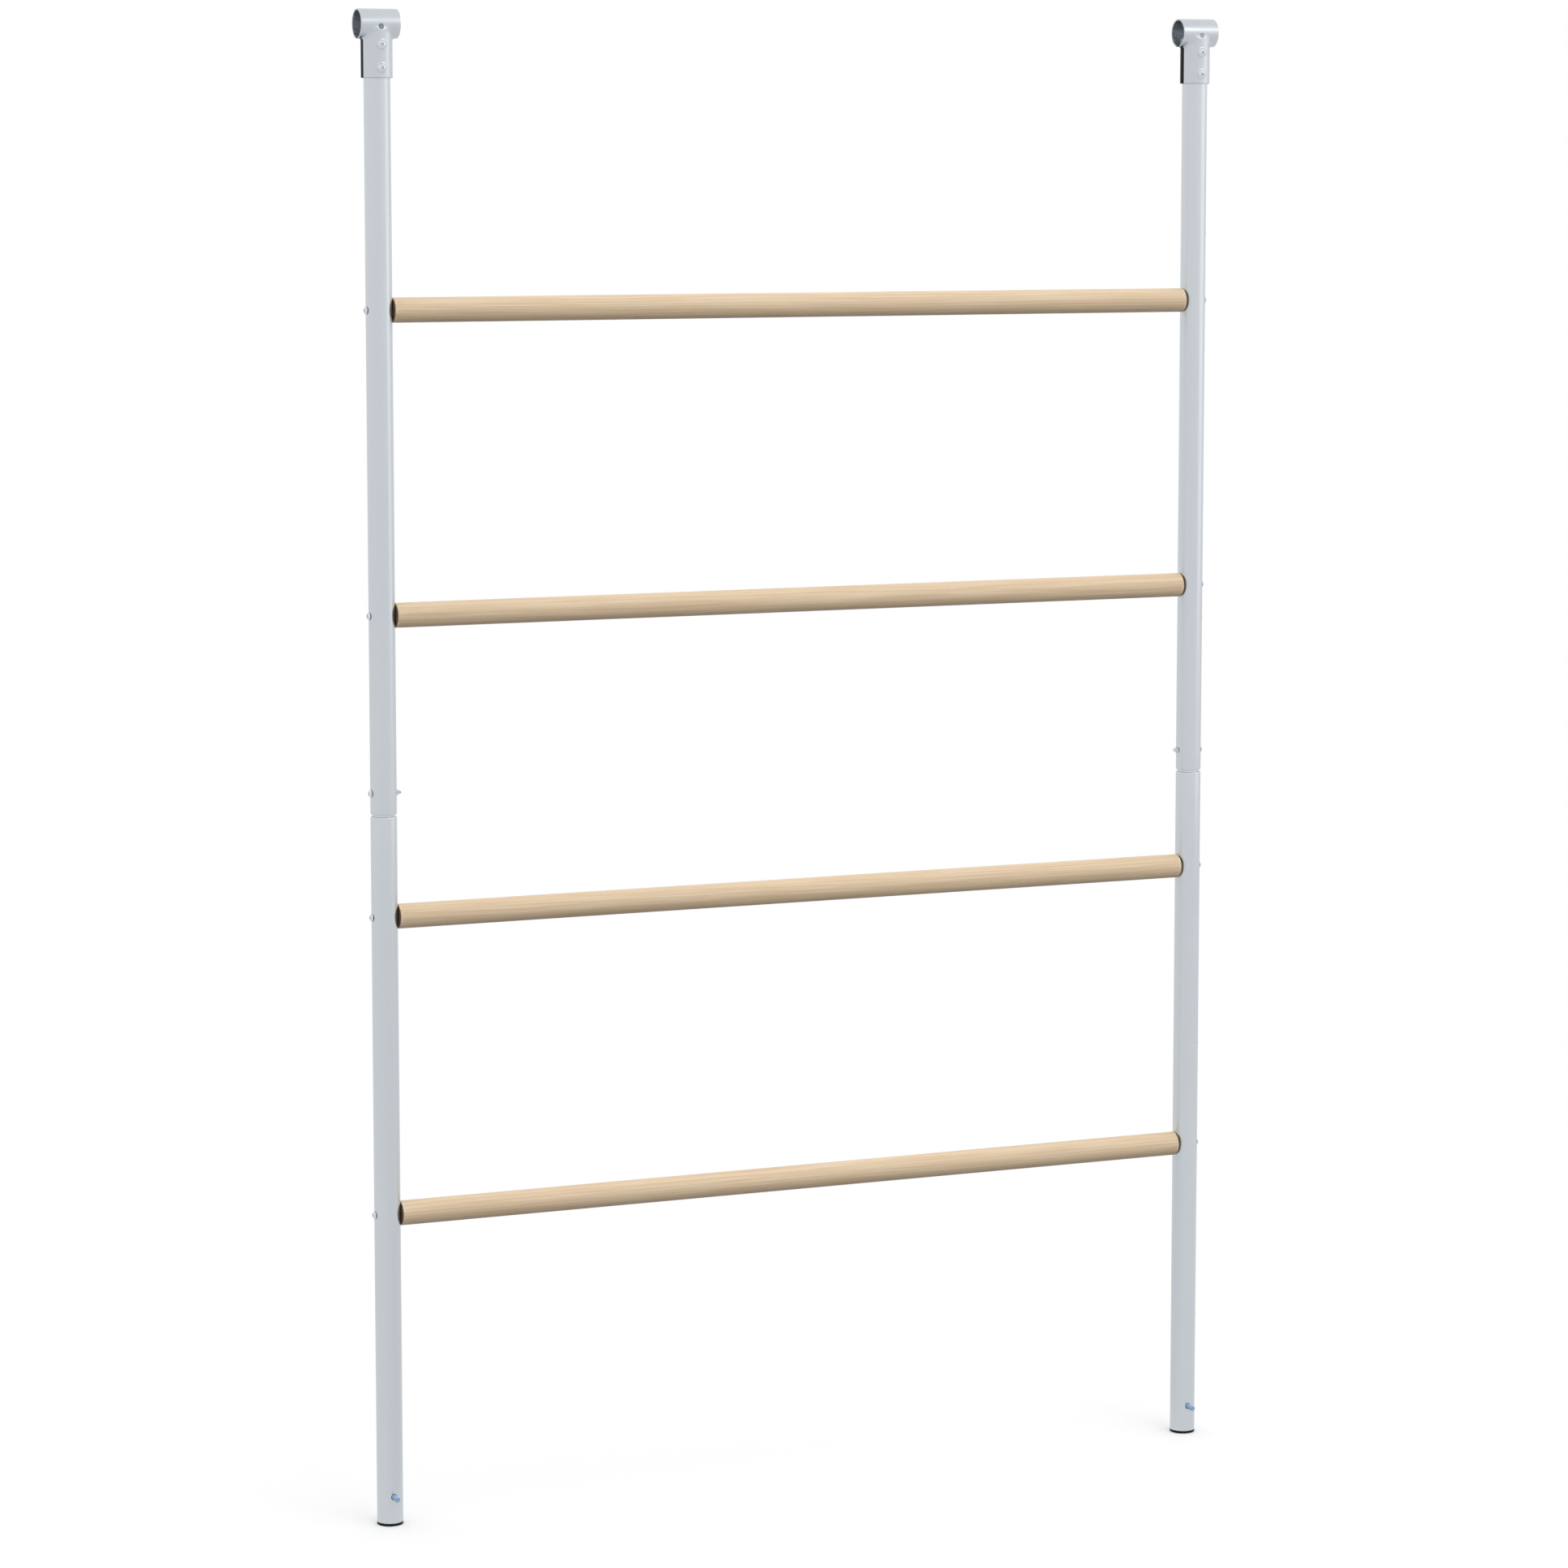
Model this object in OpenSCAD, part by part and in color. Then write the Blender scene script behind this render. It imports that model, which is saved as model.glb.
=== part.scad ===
// Hang-on ladder rack: two sectional tube posts, four wooden rungs and two bar clamps.
//
// The floor is z = 0, the posts stand in the plane y = 0 and x = 0 is midway between them.
// +X runs along the rungs to the right and -Y is the front. All sizes are in millimetres.

/* [Rack] */
// Distance between the axes of the two posts
post_spacing = 1200; // [700:10:1600]
// Height of the overhead bar's axis above the floor
bar_height = 1992; // [1850:1:2200]
// Height of the bottom rung's axis above the floor
bottom_rung_z = 422; // [300:1:440]
// Distance from one rung's axis to the next
rung_pitch = 400; // [330:1:420]

/* [Posts] */
// Outer diameter of the post tube
post_d = 35; // [32:0.5:38]
// Wall of the post tube
post_wall = 3; // [2.5:0.25:4]
// Radius that rounds the outer edge of a tube end
end_round = 2; // [0.5:0.25:2.25]
// Height of the groove between the lower and the upper post
joint_z = 958; // [900:1:1000]
// Width of that groove
joint_gap = 1.8; // [1:0.1:4]
// Length of spigot in each of the two posts
spigot_reach = 60; // [45:1:90]
// Height of the joint bolt above the groove
joint_bolt_rise = 29.5; // [20:0.5:35]

/* [Rungs] */
// Diameter of a rung
rung_d = 33; // [26:0.5:35]
// Bevel round each end of a rung
rung_bevel = 1; // [0.5:0.25:2]
// Depth of the threaded insert in the end of a rung
insert_depth = 20; // [18:1:30]
// Outer diameter of the threaded insert
insert_d = 10; // [9:0.5:12]

/* [Bar clamps] */
// Diameter of the overhead bar that the clamps take
bar_d = 35; // [32:0.5:35]
// Thickness of the pressed clamp plate
plate_t = 2; // [1.5:0.25:3]
// Thickness of the liner between a post and its clamp
liner_t = 1.1; // [0.8:0.1:2]
// Length of the collar along the bar
collar_len = 54; // [48:1:70]
// Distance from the bar's axis down to the lower edge of the sleeve
sleeve_drop = 69.5; // [66:0.5:90]
// Width of the gap down both sides of the sleeve and under the collar
side_gap = 9.5; // [4:0.5:12]
// Distance from the bar's axis down to the upper tee bolt
upper_bolt_drop = 26.5; // [25:0.5:32]
// Distance from the upper tee bolt to the lower one
tee_bolt_pitch = 30; // [22:0.5:32]
// Diameter of the hole for a locking screw in the front of the collar
lock_hole_d = 7; // [5:0.5:8]
// Distance from the bar's axis down to the locking screw's hole
lock_hole_drop = 3.6; // [2:0.1:6]

/* [Fasteners] */
// Diameter of a screw or bolt head
head_d = 11; // [9:0.5:13]
// Height of a screw or bolt head
head_h = 3; // [2.5:0.25:4]
// Thread diameter of the rung screws and tee bolts
screw_d = 6; // [5:0.5:6]
// Thread diameter of the joint bolts
joint_bolt_d = 4; // [4:0.5:5]
// Length of bolt that shows past the joint nut
joint_tip = 3.8; // [2:0.1:6]
// Diameter of the head of a side stud
stud_head_d = 7; // [6:0.5:8]
// Height of that head
stud_head_h = 2.2; // [1.5:0.1:3]

/* [Feet] */
// Thickness of the foot cap under the tube
cap_t = 3; // [2:0.5:6]
// Height of the foot peg above the floor
peg_z = 40; // [32:1:60]
// Diameter of the foot peg
peg_d = 7; // [5:0.5:8]
// Length of peg that stands out of the post
peg_out = 15; // [8:0.5:20]

/* [Hidden] */
$fn = 64;
FIT = 0.05;                 // gap between pieces that are pushed together
BAR_FIT = 0.1;              // radial gap between the collar and its bar
HOLE_FIT = 0.3;             // radial gap round a bolt in its hole
THREAD_FIT = 0.05;          // radial gap drawn between a thread and its nut
RECESS = [5.4, 1.2, 1.6];   // length, width and depth of the cross recess in a head
HEAD_LAND = 0.5;            // straight edge under a head's dome
HEAD_FLAT = 0.45;           // radius of a head's flat top over the head's radius
JOINT_NUT = [7, 3.2];       // size across the flats and height of a joint nut
TEE_NUT = [10, 5];          // the same for a tee bolt's nut
TEE_TIP = 2;                // length of bolt past a tee nut
BOLT_POINT = 0.8;           // chamfer on the end of a bolt
INSERT_SPARE = 4;           // depth of insert past the end of its screw
STUD_D = 4;                 // thread diameter of a side stud
STUD_LEN = 8;               // length of stud inside the post
STUD_ZS = [170, 396, 565, 1174, 1338, 1552, 1715];  // heights of the side studs
SPIGOT_ROUND = 1;           // rounding of the spigot's ends
FOOT_ROUND = 1.5;           // rounding of the lower post's edge above its cap
LINER_PROUD = 0.1;          // how far a liner rib stands out of the sleeve
POST_TOP_GAP = 1.5;         // space between a post's top and the bar
CAP_STEM = 46;              // height of a foot cap's stem inside the tube
CAP_WALL = 2.5;             // wall of that stem
CAP_EDGE = 0.75;            // rounding of the cap's lower edge
PEG_HOLE_FIT = 0.5;         // radial gap round the peg in the tube's wall
PEG_DEPTH = 14;             // length of peg behind the tube's front
PEG_BOSS = 12;              // diameter of the boss that grips the peg inside the stem
PEG_TIP = 1.2;              // rounding of the peg's end
CONE_H = 17;                // height over which the sleeve tapers into the collar
CONE_IN = 4;                // how much the sleeve's radius shrinks over that height
SLIT_TOP = 12;              // distance from the bar's axis down to the top of the slit
THROUGH = 100;              // length of a cutting cylinder that goes right through

post_r = post_d / 2;
bore_r = post_r - post_wall;
bar_bore_r = bar_d / 2 + BAR_FIT;
collar_r = bar_bore_r + plate_t;
liner_r = post_r + FIT + liner_t;
sleeve_bore_r = liner_r + FIT;
sleeve_r = sleeve_bore_r + plate_t;
post_top = bar_height - bar_bore_r - POST_TOP_GAP;
rung_len = post_spacing - post_d - 2 * FIT;
rung_zs = [for (i = [0:3]) bottom_rung_z + i * rung_pitch];
tee_drops = [upper_bolt_drop, upper_bolt_drop + tee_bolt_pitch];

// ---- placing ----

// Children at the left post (side = -1) or the right post (side = 1).
module at_post(side) {
    translate([side * post_spacing / 2, 0, 0]) children();
}

// Turns +Z to point away from the middle of the rack, along X.
module outward(side) {
    rotate([0, side * 90, 0]) children();
}

// Turns +Z to point to the front of the rack.
module forward() {
    rotate([90, 0, 0]) children();
}

// ---- shared shapes ----

// Wall of a tube from z0 to z1, with its outer edges rounded by round0 and round1.
module tube(outer_r, inner_r, z0, z1, round0 = 0, round1 = 0) {
    rotate_extrude() difference() {
        union() {
            translate([inner_r, z0 + round0])
                square([outer_r - inner_r, z1 - z0 - round0 - round1]);
            if (round0 > 0) rounded_rim(outer_r, inner_r, z0 + round0, round0, -1);
            if (round1 > 0) rounded_rim(outer_r, inner_r, z1 - round1, round1, 1);
        }
        translate([inner_r - outer_r, z0 - 1]) square([outer_r, z1 - z0 + 2]);
    }
}

// Section of a tube's end beyond z, with a quarter circle of radius r on its outer side.
module rounded_rim(outer_r, inner_r, z, r, way) {
    translate([outer_r - r, z]) circle(r);
    translate([inner_r, way > 0 ? z : z - r]) square([outer_r - inner_r - r, r]);
}

// Low round head on z = 0 with a cross recess.
module screw_head(d, h) {
    r = d / 2;
    scale_to_d = d / head_d;
    slot = [RECESS[0] * scale_to_d, RECESS[1] * scale_to_d, h];
    top_r = HEAD_FLAT * r;
    dome_z = (top_r * top_r + h * h - r * r - HEAD_LAND * HEAD_LAND) / (2 * (h - HEAD_LAND));
    dome_r = sqrt(r * r + (HEAD_LAND - dome_z) * (HEAD_LAND - dome_z));
    difference() {
        intersection() {
            cylinder(r = r, h = h);
            translate([0, 0, dome_z]) sphere(dome_r);
        }
        for (turn = [45, 135])
            rotate(turn) translate([-slot[0] / 2, -slot[1] / 2, h - RECESS[2] * scale_to_d]) cube(slot);
    }
}

// Bolt whose head sits on z = 0 and whose shank runs down to z = -len, with a chamfered end.
module bolt(d, len, head = [head_d, head_h]) {
    screw_head(head[0], head[1]);
    translate([0, 0, BOLT_POINT - len]) cylinder(d = d, h = len - BOLT_POINT);
    translate([0, 0, -len]) cylinder(r1 = d / 2 - BOLT_POINT, r2 = d / 2, h = BOLT_POINT);
}

// Hexagonal nut from z = 0 upwards with its corners turned off.
module hex_nut(size, bolt_d) {
    r = size[0] / 2;
    half_h = size[1] / 2;
    difference() {
        intersection() {
            cylinder(r = r / cos(30), h = size[1], $fn = 6);
            union() {
                cylinder(r1 = r, r2 = r + size[1], h = half_h);
                translate([0, 0, half_h]) cylinder(r1 = r + size[1], r2 = r, h = half_h);
            }
        }
        translate([0, 0, -1]) cylinder(d = bolt_d + 2 * THREAD_FIT, h = size[1] + 2);
    }
}

// Hole through a post along X at height z.
module hole_across(d, z) {
    translate([0, 0, z]) rotate([0, 90, 0]) cylinder(d = d, h = THROUGH, center = true);
}

// The two holes of the tee bolts through a post, along Y.
module tee_bolt_holes() {
    for (drop = tee_drops)
        translate([0, 0, bar_height - drop]) forward()
            cylinder(d = screw_d + 2 * HOLE_FIT, h = THROUGH, center = true);
}

// Holes for the side studs in the right post, between the heights low and high.
module stud_holes(low, high) {
    for (z = STUD_ZS)
        if (z > low && z < high)
            translate([0, 0, z]) outward(1) cylinder(d = STUD_D + 2 * THREAD_FIT, h = post_d);
}

// ---- posts ----

module upper_post(side) {
    color("lightsteelblue") at_post(side) difference() {
        tube(post_r, bore_r, joint_z + joint_gap / 2, post_top, end_round, 0);
        for (z = rung_zs)
            if (z > joint_z) hole_across(screw_d + 2 * HOLE_FIT, z);
        hole_across(joint_bolt_d + 2 * HOLE_FIT, joint_z + joint_bolt_rise);
        tee_bolt_holes();
        if (side > 0) stud_holes(joint_z, bar_height);
    }
}

module lower_post(side) {
    color("lightsteelblue") at_post(side) difference() {
        tube(post_r, bore_r, cap_t, joint_z - joint_gap / 2, FOOT_ROUND, end_round);
        for (z = rung_zs)
            if (z < joint_z) hole_across(screw_d + 2 * HOLE_FIT, z);
        translate([0, 0, peg_z]) forward() cylinder(d = peg_d + 2 * PEG_HOLE_FIT, h = post_d);
        if (side > 0) stud_holes(0, joint_z);
    }
}

module joint_spigot(side) {
    color("silver") at_post(side) difference() {
        tube(bore_r - FIT, bore_r - post_wall, joint_z - spigot_reach, joint_z + spigot_reach,
            SPIGOT_ROUND, SPIGOT_ROUND);
        hole_across(joint_bolt_d + 2 * HOLE_FIT, joint_z + joint_bolt_rise);
    }
}

module joint_bolt(side) {
    color("gainsboro") at_post(side)
        translate([side * post_r, 0, joint_z + joint_bolt_rise]) outward(side)
            bolt(joint_bolt_d, post_d + JOINT_NUT[1] + joint_tip);
}

module joint_nut(side) {
    color("silver") at_post(side)
        translate([-side * post_r, 0, joint_z + joint_bolt_rise]) outward(-side)
            hex_nut(JOINT_NUT, joint_bolt_d);
}

module side_studs() {
    for (z = STUD_ZS)
        color("gainsboro") at_post(1) translate([post_r, 0, z]) outward(1)
            bolt(STUD_D, STUD_LEN, [stud_head_d, stud_head_h]);
}

// ---- rungs ----

module rung(z) {
    r = rung_d / 2;
    body = rung_len - 2 * rung_bevel;
    color("burlywood") translate([0, 0, z]) rotate([0, 90, 0]) difference() {
        union() {
            cylinder(r = r, h = body, center = true);
            for (end = [-1, 1])
                translate([0, 0, end * body / 2]) rotate([end < 0 ? 180 : 0, 0, 0])
                    cylinder(r1 = r, r2 = r - rung_bevel, h = rung_bevel);
        }
        for (end = [-1, 1])
            translate([0, 0, end * rung_len / 2])
                cylinder(d = insert_d + 2 * FIT, h = 2 * insert_depth, center = true);
    }
}

module rung_screws(z) {
    for (side = [-1, 1])
        color("gainsboro") at_post(side) translate([side * post_r, 0, z]) outward(side)
            bolt(screw_d, post_d + insert_depth - INSERT_SPARE);
}

module rung_inserts(z) {
    for (side = [-1, 1])
        color("goldenrod") translate([side * rung_len / 2, 0, z]) outward(-side) difference() {
            cylinder(d = insert_d, h = insert_depth - FIT);
            translate([0, 0, -1]) cylinder(d = screw_d + 2 * THREAD_FIT, h = insert_depth + 2);
        }
}

// ---- bar clamps ----

// The sleeve's outside or inside: a cylinder that tapers off inside the collar.
module sleeve_body(r, bottom) {
    translate([0, 0, bottom]) cylinder(r = r, h = -CONE_H - bottom);
    translate([0, 0, -CONE_H]) cylinder(r1 = r, r2 = r - CONE_IN, h = CONE_H);
}

module tee_clamp(side) {
    color("whitesmoke") at_post(side) difference() {
        translate([0, 0, bar_height]) difference() {
            union() {
                rotate([0, 90, 0]) cylinder(r = collar_r, h = collar_len, center = true);
                sleeve_body(sleeve_r, -sleeve_drop);
            }
            rotate([0, 90, 0]) cylinder(r = bar_bore_r, h = collar_len + 2, center = true);
            sleeve_body(sleeve_bore_r, -sleeve_drop - 1);
            translate([-collar_len, -side_gap / 2, -2 * sleeve_drop])
                cube([2 * collar_len, side_gap, 2 * sleeve_drop - SLIT_TOP]);
            translate([0, 0, -lock_hole_drop]) forward() cylinder(d = lock_hole_d, h = post_d);
        }
        tee_bolt_holes();
    }
}

module clamp_liner(side) {
    bottom = bar_height - sleeve_drop;
    height = post_top - bottom;
    color("black") at_post(side) difference() {
        translate([0, 0, bottom]) union() {
            cylinder(r = liner_r, h = height);
            intersection() {
                cylinder(r = sleeve_r + LINER_PROUD, h = height);
                translate([-post_d, FIT - side_gap / 2, 0])
                    cube([2 * post_d, side_gap - 2 * FIT, height]);
            }
        }
        translate([0, 0, bottom - 1]) cylinder(r = post_r + FIT, h = height + 2);
        tee_bolt_holes();
    }
}

module tee_bolts(side) {
    for (drop = tee_drops)
        color("gainsboro") at_post(side) translate([0, -sleeve_r, bar_height - drop]) forward()
            bolt(screw_d, 2 * sleeve_r + TEE_NUT[1] + TEE_TIP);
}

module tee_nuts(side) {
    for (drop = tee_drops)
        color("silver") at_post(side) translate([0, sleeve_r, bar_height - drop])
            rotate([-90, 0, 0]) hex_nut(TEE_NUT, screw_d);
}

// ---- feet ----

module foot_cap(side) {
    stem_r = bore_r - FIT;
    color("black") at_post(side) difference() {
        union() {
            tube(post_r, 0, 0, cap_t, CAP_EDGE, 0);
            difference() {
                cylinder(r = stem_r, h = cap_t + CAP_STEM);
                translate([0, 0, cap_t]) cylinder(r = stem_r - CAP_WALL, h = CAP_STEM + 1);
            }
            intersection() {
                translate([0, 0, peg_z]) forward() cylinder(d = PEG_BOSS, h = post_d, center = true);
                cylinder(r = stem_r - CAP_WALL / 2, h = cap_t + CAP_STEM);
            }
        }
        translate([0, PEG_DEPTH - post_r + FIT, peg_z]) forward() cylinder(d = peg_d + 2 * FIT, h = post_d);
    }
}

module foot_peg(side) {
    color("cornflowerblue") at_post(side)
        translate([0, PEG_DEPTH - post_r, peg_z]) forward()
            tube(peg_d / 2, 0, 0, PEG_DEPTH + peg_out, 0, PEG_TIP);
}

// ---- assembly ----

upper_post(-1);  // left_upper_post
upper_post(1);  // right_upper_post
lower_post(-1);  // left_lower_post
lower_post(1);  // right_lower_post
joint_spigot(-1);  // left_joint_spigot
joint_spigot(1);  // right_joint_spigot
joint_bolt(-1);  // left_joint_bolt
joint_bolt(1);  // right_joint_bolt
joint_nut(-1);  // left_joint_nut
joint_nut(1);  // right_joint_nut
side_studs();

rung(rung_zs[0]);  // bottom_rung
rung(rung_zs[1]);  // lower_middle_rung
rung(rung_zs[2]);  // upper_middle_rung
rung(rung_zs[3]);  // top_rung
rung_screws(rung_zs[0]);  // bottom_rung_screws
rung_screws(rung_zs[1]);  // lower_middle_rung_screws
rung_screws(rung_zs[2]);  // upper_middle_rung_screws
rung_screws(rung_zs[3]);  // top_rung_screws
rung_inserts(rung_zs[0]);  // bottom_rung_inserts
rung_inserts(rung_zs[1]);  // lower_middle_rung_inserts
rung_inserts(rung_zs[2]);  // upper_middle_rung_inserts
rung_inserts(rung_zs[3]);  // top_rung_inserts

tee_clamp(-1);  // left_tee_clamp
tee_clamp(1);  // right_tee_clamp
clamp_liner(-1);  // left_clamp_liner
clamp_liner(1);  // right_clamp_liner
tee_bolts(-1);  // left_tee_bolts
tee_bolts(1);  // right_tee_bolts
tee_nuts(-1);  // left_tee_nuts
tee_nuts(1);  // right_tee_nuts

foot_cap(-1);  // left_foot_cap
foot_cap(1);  // right_foot_cap
foot_peg(-1);  // left_foot_peg
foot_peg(1);  // right_foot_peg
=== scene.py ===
import math

import bmesh
import bpy
import numpy as np
from mathutils import Matrix, Vector


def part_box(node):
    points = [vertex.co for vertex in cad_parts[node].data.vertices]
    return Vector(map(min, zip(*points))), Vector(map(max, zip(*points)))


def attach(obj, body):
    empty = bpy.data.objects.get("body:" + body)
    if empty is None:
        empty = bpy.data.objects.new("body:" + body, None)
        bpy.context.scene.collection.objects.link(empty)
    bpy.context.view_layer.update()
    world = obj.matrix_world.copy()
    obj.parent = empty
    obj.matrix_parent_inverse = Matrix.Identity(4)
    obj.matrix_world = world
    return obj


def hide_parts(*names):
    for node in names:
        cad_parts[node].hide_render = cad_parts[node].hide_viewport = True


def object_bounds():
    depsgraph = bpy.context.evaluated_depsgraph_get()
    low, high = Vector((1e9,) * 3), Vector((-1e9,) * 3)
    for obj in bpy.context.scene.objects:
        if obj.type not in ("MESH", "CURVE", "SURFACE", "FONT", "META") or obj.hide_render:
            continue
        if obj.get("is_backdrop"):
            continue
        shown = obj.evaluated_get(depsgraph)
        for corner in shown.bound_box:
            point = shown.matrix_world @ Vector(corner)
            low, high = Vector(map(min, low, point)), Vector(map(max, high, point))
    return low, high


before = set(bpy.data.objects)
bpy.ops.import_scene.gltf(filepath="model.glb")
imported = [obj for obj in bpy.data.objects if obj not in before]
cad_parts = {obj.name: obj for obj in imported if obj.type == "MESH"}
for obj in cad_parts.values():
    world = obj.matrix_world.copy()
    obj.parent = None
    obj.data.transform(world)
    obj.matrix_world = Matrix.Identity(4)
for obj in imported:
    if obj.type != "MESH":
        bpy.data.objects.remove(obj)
cad_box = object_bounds()

# ---- camera ----
# The rack is seen from its left, from about the height of its top rung, through a long lens whose small
# shift keeps both posts close to upright.
camera = bpy.data.objects.new("camera", bpy.data.cameras.new("camera"))
bpy.context.scene.collection.objects.link(camera)
bpy.context.scene.camera = camera
camera.data.lens = 111.57
camera.data.shift_y = -0.048
camera.location = (-2.646, -6.039, 1.817)
camera_pitch_down, camera_turn_right = math.radians(6.445), math.radians(23.467)
camera.rotation_euler = (math.pi / 2 - camera_pitch_down, 0, -camera_turn_right)

# ---- posts ----
# Each post is two lengths of drawn steel tube, sawn to length with their outer rims rounded over, drilled
# for their screws, and sprayed with a silver-grey metallic lacquer under a thin clear gloss.
mm = 0.001
SIDES = {"left": -1, "right": 1}
POST_WALL = 3 * mm
RIM_ROUND = 2 * mm
FOOT_ROUND = 1.5 * mm
INNER_BREAK = 0.4 * mm          # small chamfer inside a tube end
HOLE_BREAK = 0.25 * mm          # small chamfer round a drilled hole
HOLE_MARGIN = 1.6 * mm          # least distance from a hole's edge to the plain grid of the wall
TUBE_COLUMNS = 96
GRID_SHARES = (0.6, 0.25, 0.0)  # rings from the plain grid in to a hole's edge
ROUND_FROM = 15                 # degrees from the wall's own ring to the first ring of a rounding
CREASE = math.radians(38)       # edges sharper than this stay crisp
SCREW_HOLE_R, JOINT_HOLE_R, STUD_HOLE_R, PEG_HOLE_R = 3.3 * mm, 2.3 * mm, 2.05 * mm, 4 * mm
POST_SILVER, POST_SILVER_DEEP = (0.640, 0.682, 0.716, 1), (0.605, 0.647, 0.683, 1)
BARE_STEEL = (0.70, 0.71, 0.73, 1)
DRAWN_SHARE = 0.4               # how much of the lacquer's tone follows the draw lines of the tube
POST_ROUGHNESS = (0.27, 0.34)


class Skin:
    """The points and faces of one piece. Each point has a wear value, from 0 on a face to 1 on an edge, which the
    shaders turn into real wear on most pieces, into a painted highlight on the rung rims and into painted shade
    in the screws' recesses.
    """

    def __init__(self):
        self.points, self.wear, self.faces = [], [], []

    def ring(self, points, wear=0.0):
        first = len(self.points)
        self.points.extend(tuple(p) for p in points)
        self.wear.extend([wear] * (len(self.points) - first))
        return list(range(first, len(self.points)))

    def bridge(self, low, high):
        for i in range(len(low)):
            j = (i + 1) % len(low)
            self.faces.append((low[i], low[j], high[j], high[i]))

    def cap(self, ring, height):
        centre = self.ring([(0, 0, height)])[0]
        for i in range(len(ring)):
            self.faces.append((ring[i], ring[(i + 1) % len(ring)], centre))

    def stamp(self, other, place):
        """Adds another piece's points and faces, moved to their place."""
        first = len(self.points)
        self.points.extend(tuple(place @ Vector(p)) for p in other.points)
        self.wear.extend(other.wear)
        self.faces.extend(tuple(first + i for i in face) for face in other.faces)


def even_angles(columns):
    return np.arange(columns) * 2 * math.pi / columns


def polar(angles, radius, height):
    """Points at these angles round +Z. The radius and height may differ from point to point."""
    radius, height = np.broadcast_to(radius, angles.shape), np.broadcast_to(height, angles.shape)
    return np.stack([radius * np.cos(angles), radius * np.sin(angles), height], axis=1)


def turn(skin, profile, angles):
    """Revolves (radius, height, wear) points round +Z. A zero radius at an end closes it with a cap."""
    rings = [skin.ring(polar(angles, r, z), wear) for r, z, wear in profile if np.max(r) > 0]
    for low, high in zip(rings, rings[1:]):
        skin.bridge(low, high)
    if np.max(profile[0][0]) == 0:
        skin.cap(rings[0], profile[0][1])
    if np.max(profile[-1][0]) == 0:
        skin.cap(rings[-1], profile[-1][1])
    return rings[0], rings[-1]


def arc(centre_r, centre_z, radius, start, stop, steps=6, wear=1.0):
    """Profile points on a circular arc, from one angle to another in degrees."""
    return [
        (centre_r + radius * math.cos(a), centre_z + radius * math.sin(a), wear)
        for a in np.radians(np.linspace(start, stop, steps + 1))
    ]


def drilled_walls(skin, outer, inner, low_z, high_z, holes):
    """Two concentric walls joined through drilled holes, each (turn, height, radius).
    Gives the rings at the foot and top of the outer wall, and then of the inner one."""
    step = 2 * math.pi / TUBE_COLUMNS
    pitch = outer * step
    reach = [math.ceil((radius + HOLE_MARGIN) / pitch) for _, _, radius in holes]
    rows = {low_z, high_z}
    for (_, z, _), cells in zip(holes, reach):
        rows |= {z + k * pitch for k in range(-cells, cells + 1)}
    rows = sorted(rows)
    drilled, borders = set(), []
    for (around, z, _), cells in zip(holes, reach):
        bottom, top = rows.index(z - cells * pitch), rows.index(z + cells * pitch)
        left = round(around / step) - cells
        right = left + 2 * cells
        drilled |= {(row, col % TUBE_COLUMNS) for row in range(bottom, top) for col in range(left, right)}
        borders.append(
            [(bottom, col) for col in range(left, right)] + [(row, right) for row in range(bottom, top)]
            + [(top, col) for col in range(right, left, -1)] + [(row, left) for row in range(top, bottom, -1)]
        )
    ends, edges = [], []
    for wall_r, chamfer in ((outer, HOLE_BREAK), (inner, 0)):
        grid = [skin.ring(polar(even_angles(TUBE_COLUMNS), wall_r, z)) for z in rows]
        for row in range(len(rows) - 1):
            for col in range(TUBE_COLUMNS):
                if (row, col) not in drilled:
                    after = (col + 1) % TUBE_COLUMNS
                    lower, upper = grid[row], grid[row + 1]
                    skin.faces.append((lower[col], lower[after], upper[after], upper[col]))
        wall_edges = []
        for (around, z, radius), border in zip(holes, borders):
            turns = np.array([col * step for _, col in border])
            heights = np.array([rows[row] for row, _ in border])
            phase = np.arctan2(heights - z, wall_r * (turns - around))
            edge_turns = around + np.arcsin((radius + chamfer) * np.cos(phase) / wall_r)
            edge_heights = z + (radius + chamfer) * np.sin(phase)
            last = [grid[row][col % TUBE_COLUMNS] for row, col in border]
            for share in GRID_SHARES:
                mixed_turns = edge_turns + share * (turns - edge_turns)
                mixed_heights = edge_heights + share * (heights - edge_heights)
                ring = skin.ring(polar(mixed_turns, wall_r, mixed_heights), float(share == 0))
                skin.bridge(last, ring)
                last = ring
            wall_edges.append((last, phase))
        edges.append(wall_edges)
        ends.append((grid[0], grid[-1]))
    for (around, z, radius), (outer_edge, phase), (inner_edge, _) in zip(holes, *edges):
        across, along = radius * np.cos(phase), np.sqrt(outer**2 - (radius * np.cos(phase)) ** 2) - HOLE_BREAK
        throat = skin.ring(np.stack([
            along * math.cos(around) - across * math.sin(around),
            along * math.sin(around) + across * math.cos(around),
            z + radius * np.sin(phase),
        ], axis=1), 1.0)
        skin.bridge(outer_edge, throat)
        skin.bridge(throat, inner_edge)
    return ends[0][0], ends[0][1], ends[1][0], ends[1][1]


def chain(skin, first, profile, last=None):
    """Turns a profile on from an existing ring, and joins it to a last one."""
    start, stop = turn(skin, profile, even_angles(TUBE_COLUMNS))
    skin.bridge(first, start)
    if last:
        skin.bridge(stop, last)


def solids_along(node, axis, gap=10 * mm):
    """Middle of each separate solid of a CAD node along one axis."""
    places = np.sort([v.co[axis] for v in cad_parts[node].data.vertices])
    parts = np.split(places, np.flatnonzero(np.diff(places) > gap) + 1)
    return [float(part[0] + part[-1]) / 2 for part in parts]


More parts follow.
